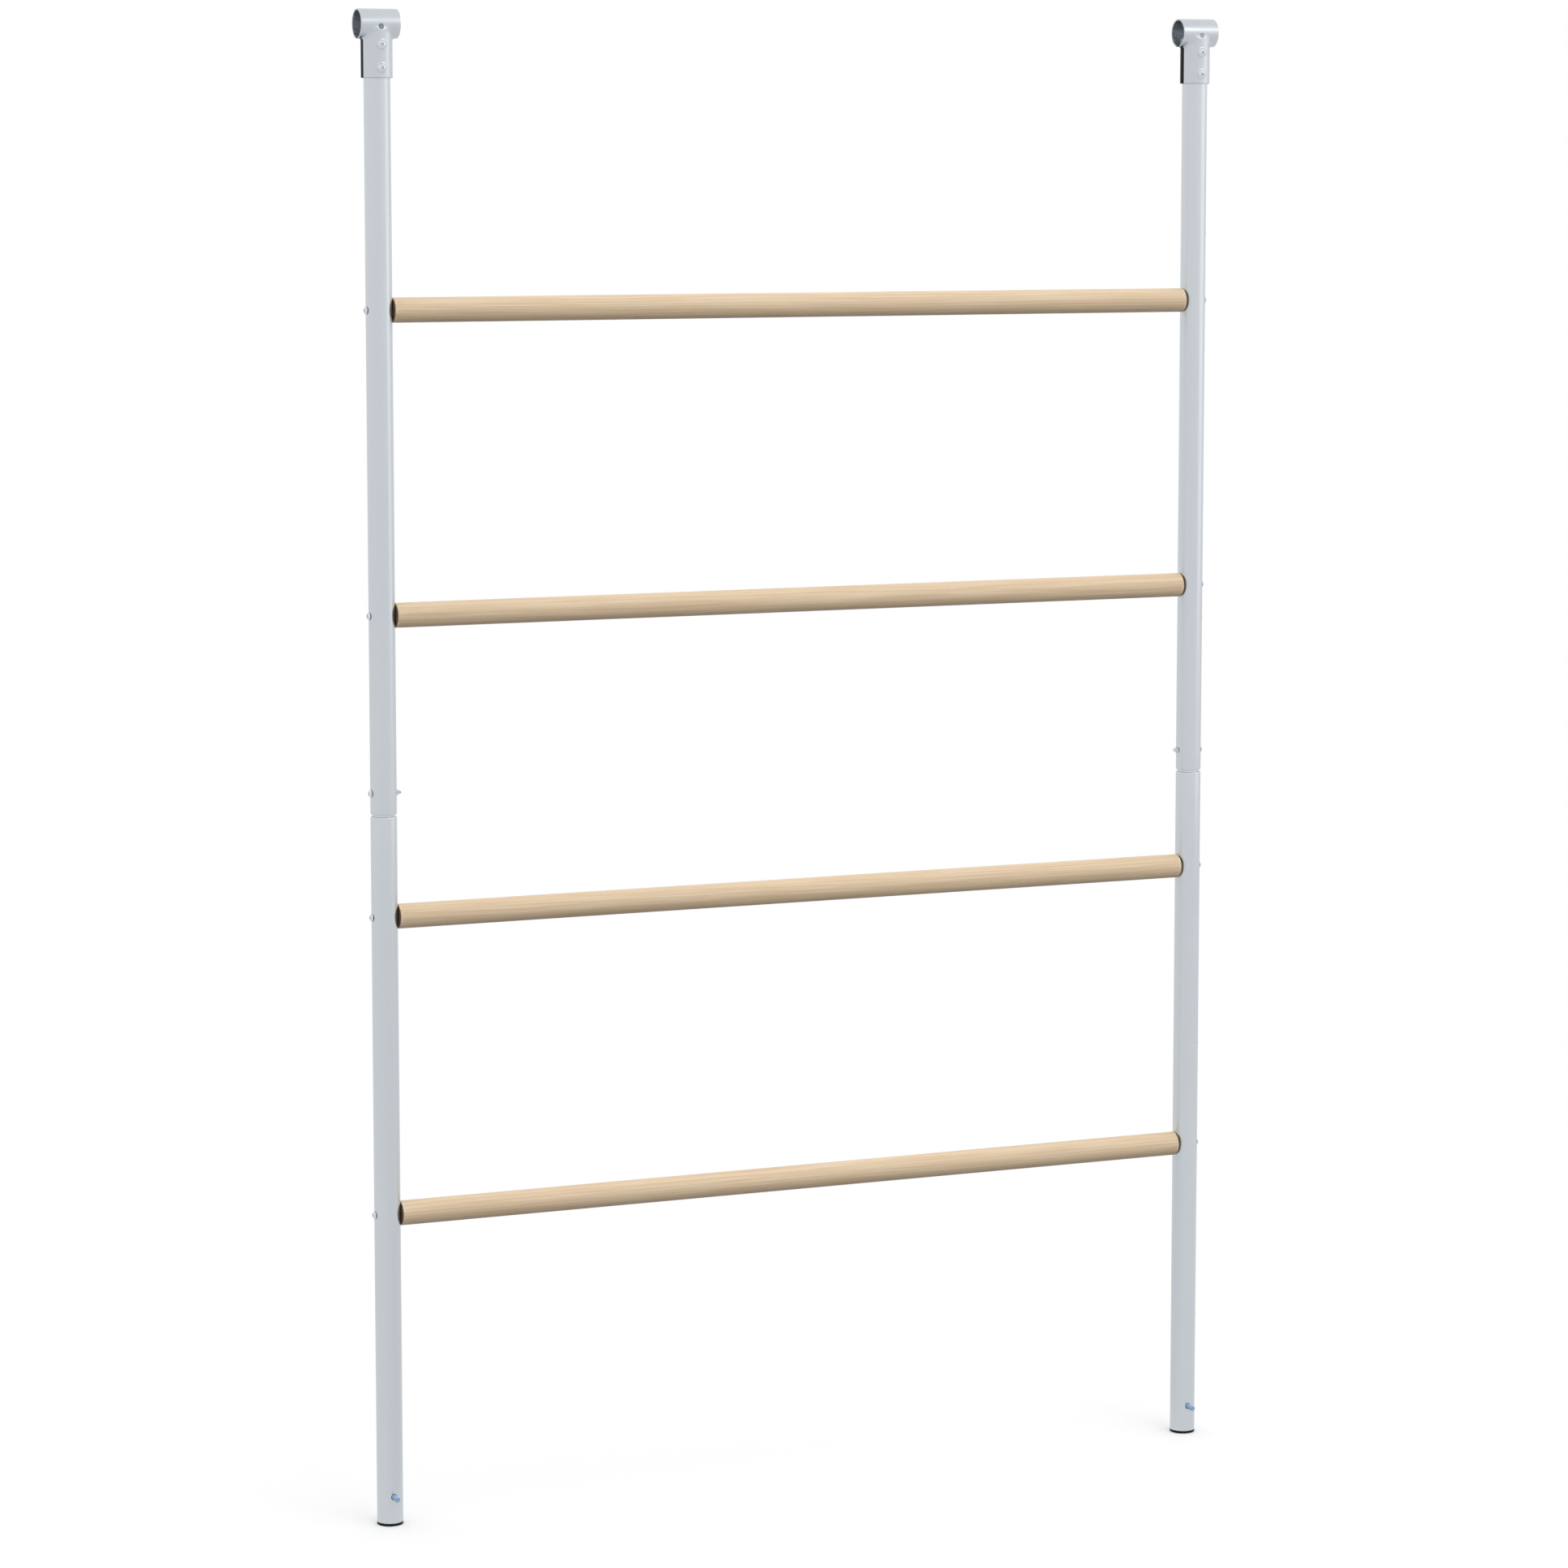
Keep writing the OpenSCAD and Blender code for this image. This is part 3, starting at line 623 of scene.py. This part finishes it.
for rung in RUNGS:
    low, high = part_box(f"{rung}_rung")
    rung_r = (high.z - low.z) / 2
    end_profile = [(0.0, high.x - INSERT_DEPTH, 0.0), (INSERT_R, high.x - INSERT_DEPTH, 0.0)]
    end_profile += [(INSERT_R, high.x - INSERT_BREAK, 1.0), (INSERT_R + INSERT_BREAK, high.x, 1.0)]
    end_profile += [(END_RING_SHARE * rung_r, high.x, 0.0)]
    end_profile += arc(rung_r - RUNG_END_ROUND, high.x - RUNG_END_ROUND, RUNG_END_ROUND, 90, 0, steps=8)
    end_profile += [(rung_r, high.x - RUNG_END_LENGTH, 0.0)]
    body_rows = np.linspace(BODY_SHARE, -BODY_SHARE, BODY_ROWS) * (high.x - RUNG_END_LENGTH)
    other_end = [(r, -z, wear) for r, z, wear in reversed(end_profile)]
    dowel = Skin()
    turn(dowel, end_profile + [(rung_r, z, 0.0) for z in body_rows] + other_end, even_angles(RUNG_COLUMNS))
    lying = Skin()
    lying.stamp(dowel, Matrix.Rotation(math.pi / 2, 4, "Y"))
    piece(f"{rung}_rung_dowel", lying, rung_wood, f"{rung}_rung",
          Matrix.Translation((0, 0, rung_z[rung])) @ Matrix.Rotation(RUNG_TURNS[rung], 4, "X"))
    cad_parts[f"{rung}_rung_inserts"].data.materials.clear()
    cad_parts[f"{rung}_rung_inserts"].data.materials.append(insert_brass)

    low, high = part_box(f"{rung}_rung_screws")
    screws = Skin()
    reach = solids_along(f"{rung}_rung_screws", 0)
    screw_length = high.x - HEAD_H - (2 * max(reach) - high.x)
    for side, sign in SIDES.items():
        place = facing(post_x[side] + sign * tube_r, 0, rung_z[rung], (sign, 0, 0))
        screws.stamp(bolt(RUNG_SCREW_R, screw_length), place)
    piece(f"{rung}_rung_end_screws", screws, screw_zinc, f"{rung}_rung_screws")

# ---- tee clamps ----
# Each clamp is one 2 mm steel plate, pressed into a collar for the bar that flows into a sleeve for the
# post, and slit down both sides. It is sprayed silver outside, like the posts, and its inside is painted a
# darker speckled grey, partly as the duller unsprayed plate and partly as painted shade inside the hollow collar.
PLATE = 2 * mm
BAR_R = 17.6 * mm
COLLAR_BLEND = 3.5 * mm         # how softly the sleeve flows into the collar
SLEEVE_TOP_DROP, SLEEVE_TOP_BLEND = 5 * mm, 4 * mm      # where the sleeve ends inside the collar
PLATE_ROUND = 0.7 * mm          # rounding of the plate's edges
SIDE_GAP_HALF = 4.75 * mm
SLIT_TOP = 12 * mm
LOCK_HOLE_R, LOCK_HOLE_DROP = 3.5 * mm, 3.6 * mm
SEAT_R = 6.3 * mm               # pressed flat under each bolt head and nut
SEAT_BLEND, HOLE_ROUND = 1.5 * mm, 0.4 * mm
CLAMP_GRID = 0.75 * mm
PROBE_SHARE, PULL_ROUNDS, PULL_LIMIT = 0.05, 4, 0.4     # how the net's points are pulled in, in grid steps
LEAST_SLOPE = 0.05
INSIDE_SHARE = 0.72             # faces this far through the plate count as its inside
CLAMP_SILVER, CLAMP_SILVER_DEEP = (0.612, 0.650, 0.684, 1), (0.578, 0.618, 0.655, 1)
# The inside tones are darker than the sprayed outside: partly the duller unsprayed plate, partly painted shade
# inside the hollow collar.
PLATE_INSIDE_SHADED, PLATE_INSIDE_PALE = (0.360, 0.400, 0.450, 1), (0.700, 0.735, 0.780, 1)
CLAMP_ROUGHNESS, INSIDE_ROUGHNESS, SPECKLE_SCALE = (0.30, 0.37), (0.32, 0.52), 900.0

clamp_zinc, tree, shader = finish("clamp_zinc", Metallic=1.0, Coat_Weight=0.08, Coat_Roughness=0.10)
cloud = place_effect(tree, mottle, Size=0.03, Fine_Size=1.2 * mm)
worn = place_effect(tree, edge_wear_and_light, Amount=0.45, Size=1.5 * mm)
sprayed = blend(tree, cloud.outputs["Cloud"], CLAMP_SILVER_DEEP, CLAMP_SILVER)
tree.links.new(blend(tree, worn.outputs[0], sprayed, BARE_STEEL), shader.inputs["Base Color"])
tree.links.new(spread(tree, cloud.outputs["Cloud"], 0, 1, *CLAMP_ROUGHNESS), shader.inputs["Roughness"])
bump(tree, shader, cloud.outputs["Fine"], strength=0.05, distance=0.05 * mm)

# The inside of the plate is painted darker: partly its duller unsprayed finish, partly painted shade inside the
# hollow collar.
clamp_inside, tree, shader = finish("clamp_inside", Metallic=0.9)
cloud = place_effect(tree, mottle, Size=9 * mm, Fine_Size=0.9 * mm)
speckle = add(tree, "ShaderNodeTexVoronoi", {
    "Vector": object_place(tree), "Scale": SPECKLE_SCALE}).outputs["Color"]
speckle_tone = add(tree, "ShaderNodeSeparateColor", {0: speckle}).outputs[0]
flecked = calculate(tree, "MULTIPLY", speckle_tone, cloud.outputs["Fine"])
tree.links.new(blend(tree, flecked, PLATE_INSIDE_SHADED, PLATE_INSIDE_PALE), shader.inputs["Base Color"])
tree.links.new(spread(tree, speckle_tone, 0, 1, *INSIDE_ROUGHNESS), shader.inputs["Roughness"])
bump(tree, shader, cloud.outputs["Fine"], strength=0.3, distance=0.05 * mm)


def soft_min(a, b, width):
    share = np.clip(0.5 + 0.5 * (b - a) / width, 0, 1)
    return b + share * (a - b) - width * share * (1 - share)


def soft_max(a, b, width):
    return -soft_min(-a, -b, width)


def outside_shell(x, y, z):
    """The outside of the clamp without its bolt seats, which the inside of the plate follows."""
    collar = np.hypot(y, z) - collar_r
    sleeve = soft_max(np.hypot(x, y) - sleeve_r, z + SLEEVE_TOP_DROP, SLEEVE_TOP_BLEND)
    return soft_min(collar, sleeve, COLLAR_BLEND)


def clamp_field(x, y, z):
    """Below zero inside the pressed plate. The bar's axis is the origin."""
    shell = outside_shell(x, y, z)
    outside = shell
    for drop in bolt_drops:
        seat = soft_max(np.hypot(x, z + drop) - SEAT_R, np.abs(y) - sleeve_r, PLATE_ROUND)
        outside = soft_min(outside, seat, SEAT_BLEND)
    plate = soft_max(outside, -shell - PLATE, PLATE_ROUND)
    plate = soft_max(plate, np.abs(x) - collar_half, PLATE_ROUND)
    plate = soft_max(plate, sleeve_foot - z, PLATE_ROUND)
    slit = np.maximum(np.abs(y) - SIDE_GAP_HALF, z + SLIT_TOP)
    plate = soft_max(plate, -slit, PLATE_ROUND)
    lock_hole = np.maximum(np.hypot(x, z + LOCK_HOLE_DROP) - LOCK_HOLE_R, y)
    plate = soft_max(plate, -lock_hole, HOLE_ROUND)
    for drop in bolt_drops:
        plate = soft_max(plate, SCREW_HOLE_R - np.hypot(x, z + drop), HOLE_ROUND)
    return plate


def skin_of_field(field, low, high, step):
    """Nets a closed surface over the zero level of a field, and pulls its points onto that level."""
    axes = [np.arange(a - step, b + 2 * step, step) for a, b in zip(low, high)]
    solid = np.stack(np.meshgrid(*axes, indexing="ij"))
    values = field(*solid)
    inside = values < 0
    shape = np.array(inside.shape) - 1
    crossings = np.zeros((*shape, 3))
    counts = np.zeros(shape)
    for axis in range(3):
        start = [slice(None)] * 3
        stop = [slice(None)] * 3
        start[axis], stop[axis] = slice(0, -1), slice(1, None)
        a, b = values[tuple(start)], values[tuple(stop)]
        cut = (a < 0) != (b < 0)
        share = np.where(cut, a / np.where(cut, a - b, 1), 0)
        u, v = [k for k in range(3) if k != axis]
        for du in (0, 1):
            for dv in (0, 1):
                window = [slice(None)] * 3
                window[u] = slice(du, shape[u] + du)
                window[v] = slice(dv, shape[v] + dv)
                window[axis] = slice(0, shape[axis])
                here_cut, here_share = cut[tuple(window)], share[tuple(window)]
                counts += here_cut
                crossings[..., axis] += here_share * here_cut
                crossings[..., u] += du * here_cut
                crossings[..., v] += dv * here_cut
    used = counts > 0
    numbers = np.full(shape, -1)
    numbers[used] = np.arange(used.sum())
    cells = np.argwhere(used)
    points = np.array([axis[0] for axis in axes]) + (cells + crossings[used] / counts[used][:, None]) * step
    probe = PROBE_SHARE * step
    for _ in range(PULL_ROUNDS):
        value = field(*points.T)
        ahead = [field(*(points + probe * np.eye(3)[k]).T) for k in range(3)]
        slope = np.stack([(there - value) / probe for there in ahead], axis=1)
        pull = value / np.maximum((slope**2).sum(axis=1), LEAST_SLOPE)
        points -= np.clip(pull, -PULL_LIMIT * step, PULL_LIMIT * step)[:, None] * slope
    faces = []
    for axis in range(3):
        u, v = (axis + 1) % 3, (axis + 2) % 3
        start = [slice(1, -1)] * 3
        stop = [slice(1, -1)] * 3
        start[axis], stop[axis] = slice(0, -1), slice(1, None)
        change = inside[tuple(start)] != inside[tuple(stop)]
        at = np.argwhere(change) + 1
        at[:, axis] -= 1
        corner = []
        for du, dv in ((0, 0), (1, 0), (1, 1), (0, 1)):
            cell = at.copy()
            cell[:, u] -= du
            cell[:, v] -= dv
            corner.append(numbers[tuple(cell.T)])
        faces.append(np.stack(corner, axis=1))
    made = Skin()
    made.ring(points)
    made.faces = [tuple(int(i) for i in face) for face in np.concatenate(faces)]
    return made


low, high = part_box("left_tee_clamp")
collar_half = (high.x - low.x) / 2
collar_r = BAR_R + PLATE
bar_z = high.z - collar_r
sleeve_r = (high.y - low.y) / 2
sleeve_foot = low.z - bar_z
bolt_drops = [bar_z - z for z in tee_bolt_zs]
clamp_skin = skin_of_field(
    clamp_field, (-collar_half, -sleeve_r, sleeve_foot), (collar_half, sleeve_r, collar_r), CLAMP_GRID)
for side in SIDES:
    clamp = piece(f"{side}_tee_pressing", clamp_skin, clamp_zinc, f"{side}_tee_clamp",
                  Matrix.Translation((post_x[side], 0, bar_z)))
    clamp.data.materials.append(clamp_inside)
    for face in clamp.data.polygons:
        if outside_shell(*face.center) < -INSIDE_SHARE * PLATE:
            face.material_index = 1

# ---- clamp liners ----
# A black nylon sleeve between the post and the clamp fills the two side slits with raised ribs, so that the
# plate grips the post without scratching it.
LINER_FIT, LINER_BREAK, LINER_ROUND = 0.05 * mm, 0.3 * mm, 0.5 * mm
ROUND_SHARE = 0.3               # where the middle ring of a moulded rounding lies
RIB_STEPS, SIDE_STEPS = 6, 16
NYLON, NYLON_PALE = (0.005, 0.005, 0.006, 1), (0.010, 0.010, 0.011, 1)
NYLON_SCUFFED, NYLON_ROUGHNESS = (0.030, 0.030, 0.032, 1), (0.36, 0.52)

black_plastic, tree, shader = finish("black_plastic", Specular_IOR_Level=0.10)
cloud = place_effect(tree, mottle, Size=0.02, Fine_Size=0.5 * mm)
worn = place_effect(tree, edge_wear_and_light, Amount=0.35, Size=1.5 * mm)
moulded = blend(tree, cloud.outputs["Cloud"], NYLON, NYLON_PALE)
tree.links.new(blend(tree, worn.outputs[0], moulded, NYLON_SCUFFED), shader.inputs["Base Color"])
tree.links.new(spread(tree, cloud.outputs["Fine"], 0, 1, *NYLON_ROUGHNESS), shader.inputs["Roughness"])
bump(tree, shader, cloud.outputs["Fine"], strength=0.3, distance=0.04 * mm)

low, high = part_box("left_clamp_liner")
rib_r, liner_r = (high.x - low.x) / 2, (high.y - low.y) / 2
rib_half = SIDE_GAP_HALF - LINER_FIT
flank_near, flank_far = math.asin(rib_half / rib_r), math.asin(rib_half / liner_r)
on_rib, on_side = np.linspace(0, flank_near, RIB_STEPS), np.linspace(flank_far, math.pi / 2, SIDE_STEPS)
quarter = [*on_rib, *on_side]
half_turn = quarter + [math.pi - a for a in quarter[-2::-1]]
liner_angles = np.array(half_turn + [math.pi + a for a in half_turn[1:-1]])


def liner_outline(inset):
    """Radius of the liner's outside at each of its angles, drawn in a little at the moulded edges."""
    flank = (rib_half - inset) / np.maximum(np.abs(np.sin(liner_angles)), SMALL_ANGLE)
    return np.minimum(rib_r - inset, np.maximum(liner_r - inset, flank))


for side in SIDES:
    sleeve = Skin()
    bore = tube_r + LINER_FIT
    mid_round = ROUND_SHARE * LINER_ROUND
    moulded_edge = [(LINER_ROUND, 0.0), (mid_round, mid_round), (0, LINER_ROUND)]
    rings = [(bore, low.z + LINER_BREAK, 1.0), (bore + LINER_BREAK, low.z, 1.0)]
    rings += [(liner_outline(inset), low.z + rise, 1.0) for inset, rise in moulded_edge]
    rings += [(liner_outline(inset), high.z - rise, 1.0) for inset, rise in reversed(moulded_edge)]
    rings += [(bore + LINER_BREAK, high.z, 1.0), (bore, high.z - LINER_BREAK, 1.0)]
    first, last = turn(sleeve, rings, liner_angles)
    sleeve.bridge(last, first)
    piece(f"{side}_liner_moulding", sleeve, black_plastic, f"{side}_clamp_liner",
          Matrix.Translation((post_x[side], 0, 0)))

# ---- tee bolts ----
# Two domed bolts go through each clamp, liner and post from the front, into hexagonal nuts at the back. Both
# are steel with bright zinc plate, and the end of each thread stands out past its nut.
TEE_BOLT_R, TEE_PITCH = 3 * mm, 1 * mm
TEE_NUT_FLATS, TEE_NUT_BORE_R = 10 * mm, 3.05 * mm
for side in SIDES:
    low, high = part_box(f"{side}_tee_bolts")
    bolts, nuts = Skin(), Skin()
    nut_low, nut_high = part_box(f"{side}_tee_nuts")
    for z in tee_bolt_zs:
        bolts.stamp(bolt(TEE_BOLT_R, high.y - low.y - HEAD_H, pitch=TEE_PITCH, threaded=THREAD_LENGTH),
                    facing(post_x[side], -sleeve_r, z, (0, -1, 0)))
        nuts.stamp(hex_nut(TEE_NUT_FLATS, nut_high.y - nut_low.y, TEE_NUT_BORE_R),
                   facing(post_x[side], sleeve_r, z, (0, 1, 0)))
    piece(f"{side}_tee_dome_bolts", bolts, screw_zinc, f"{side}_tee_bolts")
    piece(f"{side}_tee_hex_nuts", nuts, screw_zinc, f"{side}_tee_nuts")

# ---- feet ----
# A moulded black cap closes the foot of each post, with a hollow stem up inside the tube. A light blue
# plastic peg is pushed through the front of the tube into the stem and keeps the cap in.
CAP_EDGE, FLANGE_BREAK = 0.75 * mm, 0.25 * mm
CAP_FIT, CAP_WALL = 0.05 * mm, 2.5 * mm
STEM_PLAIN, STEM_BEVEL, STEM_LIP = 1 * mm, 0.9 * mm, 0.2 * mm
HOLLOW_EDGE_SHARE, HOLLOW_SHARE, HOLLOW_DEPTH = 0.62, 0.58, 0.5 * mm    # the shallow hollow under a cap
PEG_COLUMNS, PEG_ROWS, PEG_BEVEL, PEG_PLAIN, PEG_TIP_ROUND = 48, 8, 0.6 * mm, 2 * mm, 1.2 * mm
GATE_EDGE_SHARE, GATE_SHARE, GATE_DEPTH = 0.35, 0.28, 0.25 * mm         # the moulding mark on a peg's tip
PEG_BLUE, PEG_BLUE_DEEP = (0.330, 0.510, 0.790, 1), (0.250, 0.420, 0.700, 1)
PEG_ROUGHNESS = (0.26, 0.40)

blue_plastic, tree, shader = finish("blue_plastic", Coat_Weight=0.3, Coat_Roughness=0.12)
cloud = place_effect(tree, mottle, Size=6 * mm, Fine_Size=0.4 * mm)
tree.links.new(blend(tree, cloud.outputs["Cloud"], PEG_BLUE_DEEP, PEG_BLUE), shader.inputs["Base Color"])
tree.links.new(spread(tree, cloud.outputs["Fine"], 0, 1, *PEG_ROUGHNESS), shader.inputs["Roughness"])
bump(tree, shader, cloud.outputs["Fine"], strength=0.15, distance=0.03 * mm)

for side in SIDES:
    stem_top, floor_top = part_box(f"{side}_foot_cap")[1].z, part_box(f"{side}_lower_post")[0].z
    stem_r = bore_r - CAP_FIT
    peg_low, peg_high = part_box(f"{side}_foot_peg")
    peg_r = (peg_high.x - peg_low.x) / 2
    cap = Skin()
    low_out, high_out, low_in, high_in = drilled_walls(
        cap, stem_r, stem_r - CAP_WALL, floor_top + STEM_PLAIN, stem_top - STEM_PLAIN,
        [(FRONT, peg_z, peg_r + CAP_FIT)])
    stem_edge = [(stem_r - STEM_BEVEL, stem_top, 1.0), (stem_r - CAP_WALL + STEM_LIP, stem_top, 1.0)]
    chain(cap, high_out, stem_edge, high_in)
    inner_floor = [(r, floor_top, 0.0) for r in (stem_r - CAP_WALL, stem_r / 2, 0.0)]
    chain(cap, low_in, inner_floor)
    flange = [(stem_r, floor_top, 0.0), (tube_r - FLANGE_BREAK, floor_top, 1.0)]
    flange += [(tube_r, floor_top - FLANGE_BREAK, 1.0)]
    flange += arc(tube_r - CAP_EDGE, CAP_EDGE, CAP_EDGE, 0, -90)
    flange += [(HOLLOW_EDGE_SHARE * tube_r, 0.0, 0.0), (HOLLOW_SHARE * tube_r, HOLLOW_DEPTH, 0.0)]
    flange += [(0.0, HOLLOW_DEPTH, 0.0)]
    chain(cap, low_out, flange)
    piece(f"{side}_cap_moulding", cap, black_plastic, f"{side}_foot_cap",
          Matrix.Translation((post_x[side], 0, 0)))

    peg_length = peg_high.y - peg_low.y
    profile = [(0.0, 0.0, 0.0), (peg_r - PEG_BEVEL, 0.0, 1.0), (peg_r, PEG_BEVEL, 1.0)]
    profile += [(peg_r, z, 0.0) for z in np.linspace(PEG_PLAIN, peg_length - PEG_TIP_ROUND, PEG_ROWS)]
    profile += arc(peg_r - PEG_TIP_ROUND, peg_length - PEG_TIP_ROUND, PEG_TIP_ROUND, ROUND_FROM, 90)
    gate_z = peg_length - GATE_DEPTH
    profile += [(GATE_EDGE_SHARE * peg_r, peg_length, 0.0)]
    profile += [(GATE_SHARE * peg_r, gate_z, 1.0), (0.0, gate_z, 0.0)]
    peg = Skin()
    turn(peg, profile, even_angles(PEG_COLUMNS))
    piece(f"{side}_peg_moulding", peg, blue_plastic, f"{side}_foot_peg",
          facing(post_x[side], peg_high.y, peg_z, (0, -1, 0)))

# ---- floor and light ----
# A plain pale floor runs out of sight into a white surround. Two soft boxes on the right, one tall and one
# high, draw the highlights. One at the front and one overhead light the wood and aren't mirrored.
bpy.context.scene.view_settings.view_transform = "Standard"
FLOOR_HALF, FLOOR_DROP = 30.0, 0.02 * mm
WHITE, FLOOR_PALE, FLOOR_DIM = (1, 1, 1, 1), (0.97, 0.97, 0.97, 1), (0.12, 0.12, 0.12, 1)
SURROUND_LIGHT = 0.98
MIRRORED_FLOOR_LIGHT = 0.90
CLEAR_FROM, CLEAR_TO = 0.3, 2.2         # distances over which the floor fades to white
floor_mesh = bpy.data.meshes.new("floor")
floor_mesh.from_pydata([(-FLOOR_HALF, -FLOOR_HALF, 0), (FLOOR_HALF, -FLOOR_HALF, 0),
                        (FLOOR_HALF, FLOOR_HALF, 0), (-FLOOR_HALF, FLOOR_HALF, 0)], [], [(0, 1, 2, 3)])
floor = bpy.data.objects.new("floor", floor_mesh)
floor.location.z = -FLOOR_DROP
bpy.context.scene.collection.objects.link(floor)
floor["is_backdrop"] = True
floor_paint, tree, shader = finish(
    "floor_paint", Base_Color=FLOOR_PALE, Roughness=0.9, Specular_IOR_Level=0.1)
far = add(tree, "ShaderNodeVectorMath", {0: object_place(tree)}, operation="LENGTH").outputs["Value"]
white = add(tree, "ShaderNodeEmission", {"Color": WHITE, "Strength": 1.0}).outputs[0]
faded = add(tree, "ShaderNodeMixShader", {
    0: spread(tree, far, CLEAR_FROM, CLEAR_TO, 0, 1), 1: shader.outputs[0], 2: white}).outputs[0]
dim = add(tree, "ShaderNodeBsdfDiffuse", {"Color": FLOOR_DIM}).outputs[0]
glow = add(tree, "ShaderNodeEmission", {"Color": WHITE, "Strength": MIRRORED_FLOOR_LIGHT}).outputs[0]
rays = add(tree, "ShaderNodeLightPath").outputs
unseen = add(tree, "ShaderNodeMixShader", {0: rays["Is Glossy Ray"], 1: dim, 2: glow}).outputs[0]
shown = add(tree, "ShaderNodeMixShader", {0: rays["Is Camera Ray"], 1: unseen, 2: faded}).outputs[0]
tree.links.new(shown, tree.nodes["Material Output"].inputs["Surface"])
floor_mesh.materials.append(floor_paint)

world = bpy.data.worlds.new("studio")
bpy.context.scene.world = world
world.use_nodes = True
tree = world.node_tree
background = tree.nodes["Background"]
background.inputs["Color"].default_value = WHITE
seen = add(tree, "ShaderNodeLightPath").outputs["Is Camera Ray"]
shown = add(tree, "ShaderNodeMix", {0: seen, 2: SURROUND_LIGHT, 3: 1.0}).outputs[0]
tree.links.new(shown, background.inputs["Strength"])


def soft_box(name, place, aim, width, height, power, mirrored):
    lamp = bpy.data.lights.new(name, "AREA")
    lamp.shape = "RECTANGLE"
    lamp.size, lamp.size_y, lamp.energy = width, height, power
    made = bpy.data.objects.new(name, lamp)
    made.location = place
    made.rotation_euler = (Vector(aim) - Vector(place)).to_track_quat("-Z", "Y").to_euler()
    made.visible_glossy = mirrored
    bpy.context.scene.collection.objects.link(made)


soft_box("right soft box", place=(3.9, -1.7, 2.4), aim=(0, 0, 1.6), width=2.8, height=3.4, power=10,
         mirrored=True)
soft_box("high soft box", place=(2.5, -4.0, 4.2), aim=(0, 0, 1.8), width=3.0, height=1.6, power=17,
         mirrored=True)
soft_box("front soft box", place=(0.8, -5.5, 2.8), aim=(0, 0, 1.0), width=4.0, height=2.0, power=52,
         mirrored=False)
soft_box("overhead soft box", place=(0.2, -1.5, 5.2), aim=(0, 0, 1.0), width=4.0, height=3.0, power=6,
         mirrored=False)

size = {"cad": [list(corner) for corner in cad_box], "visual": [list(corner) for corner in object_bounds()]}
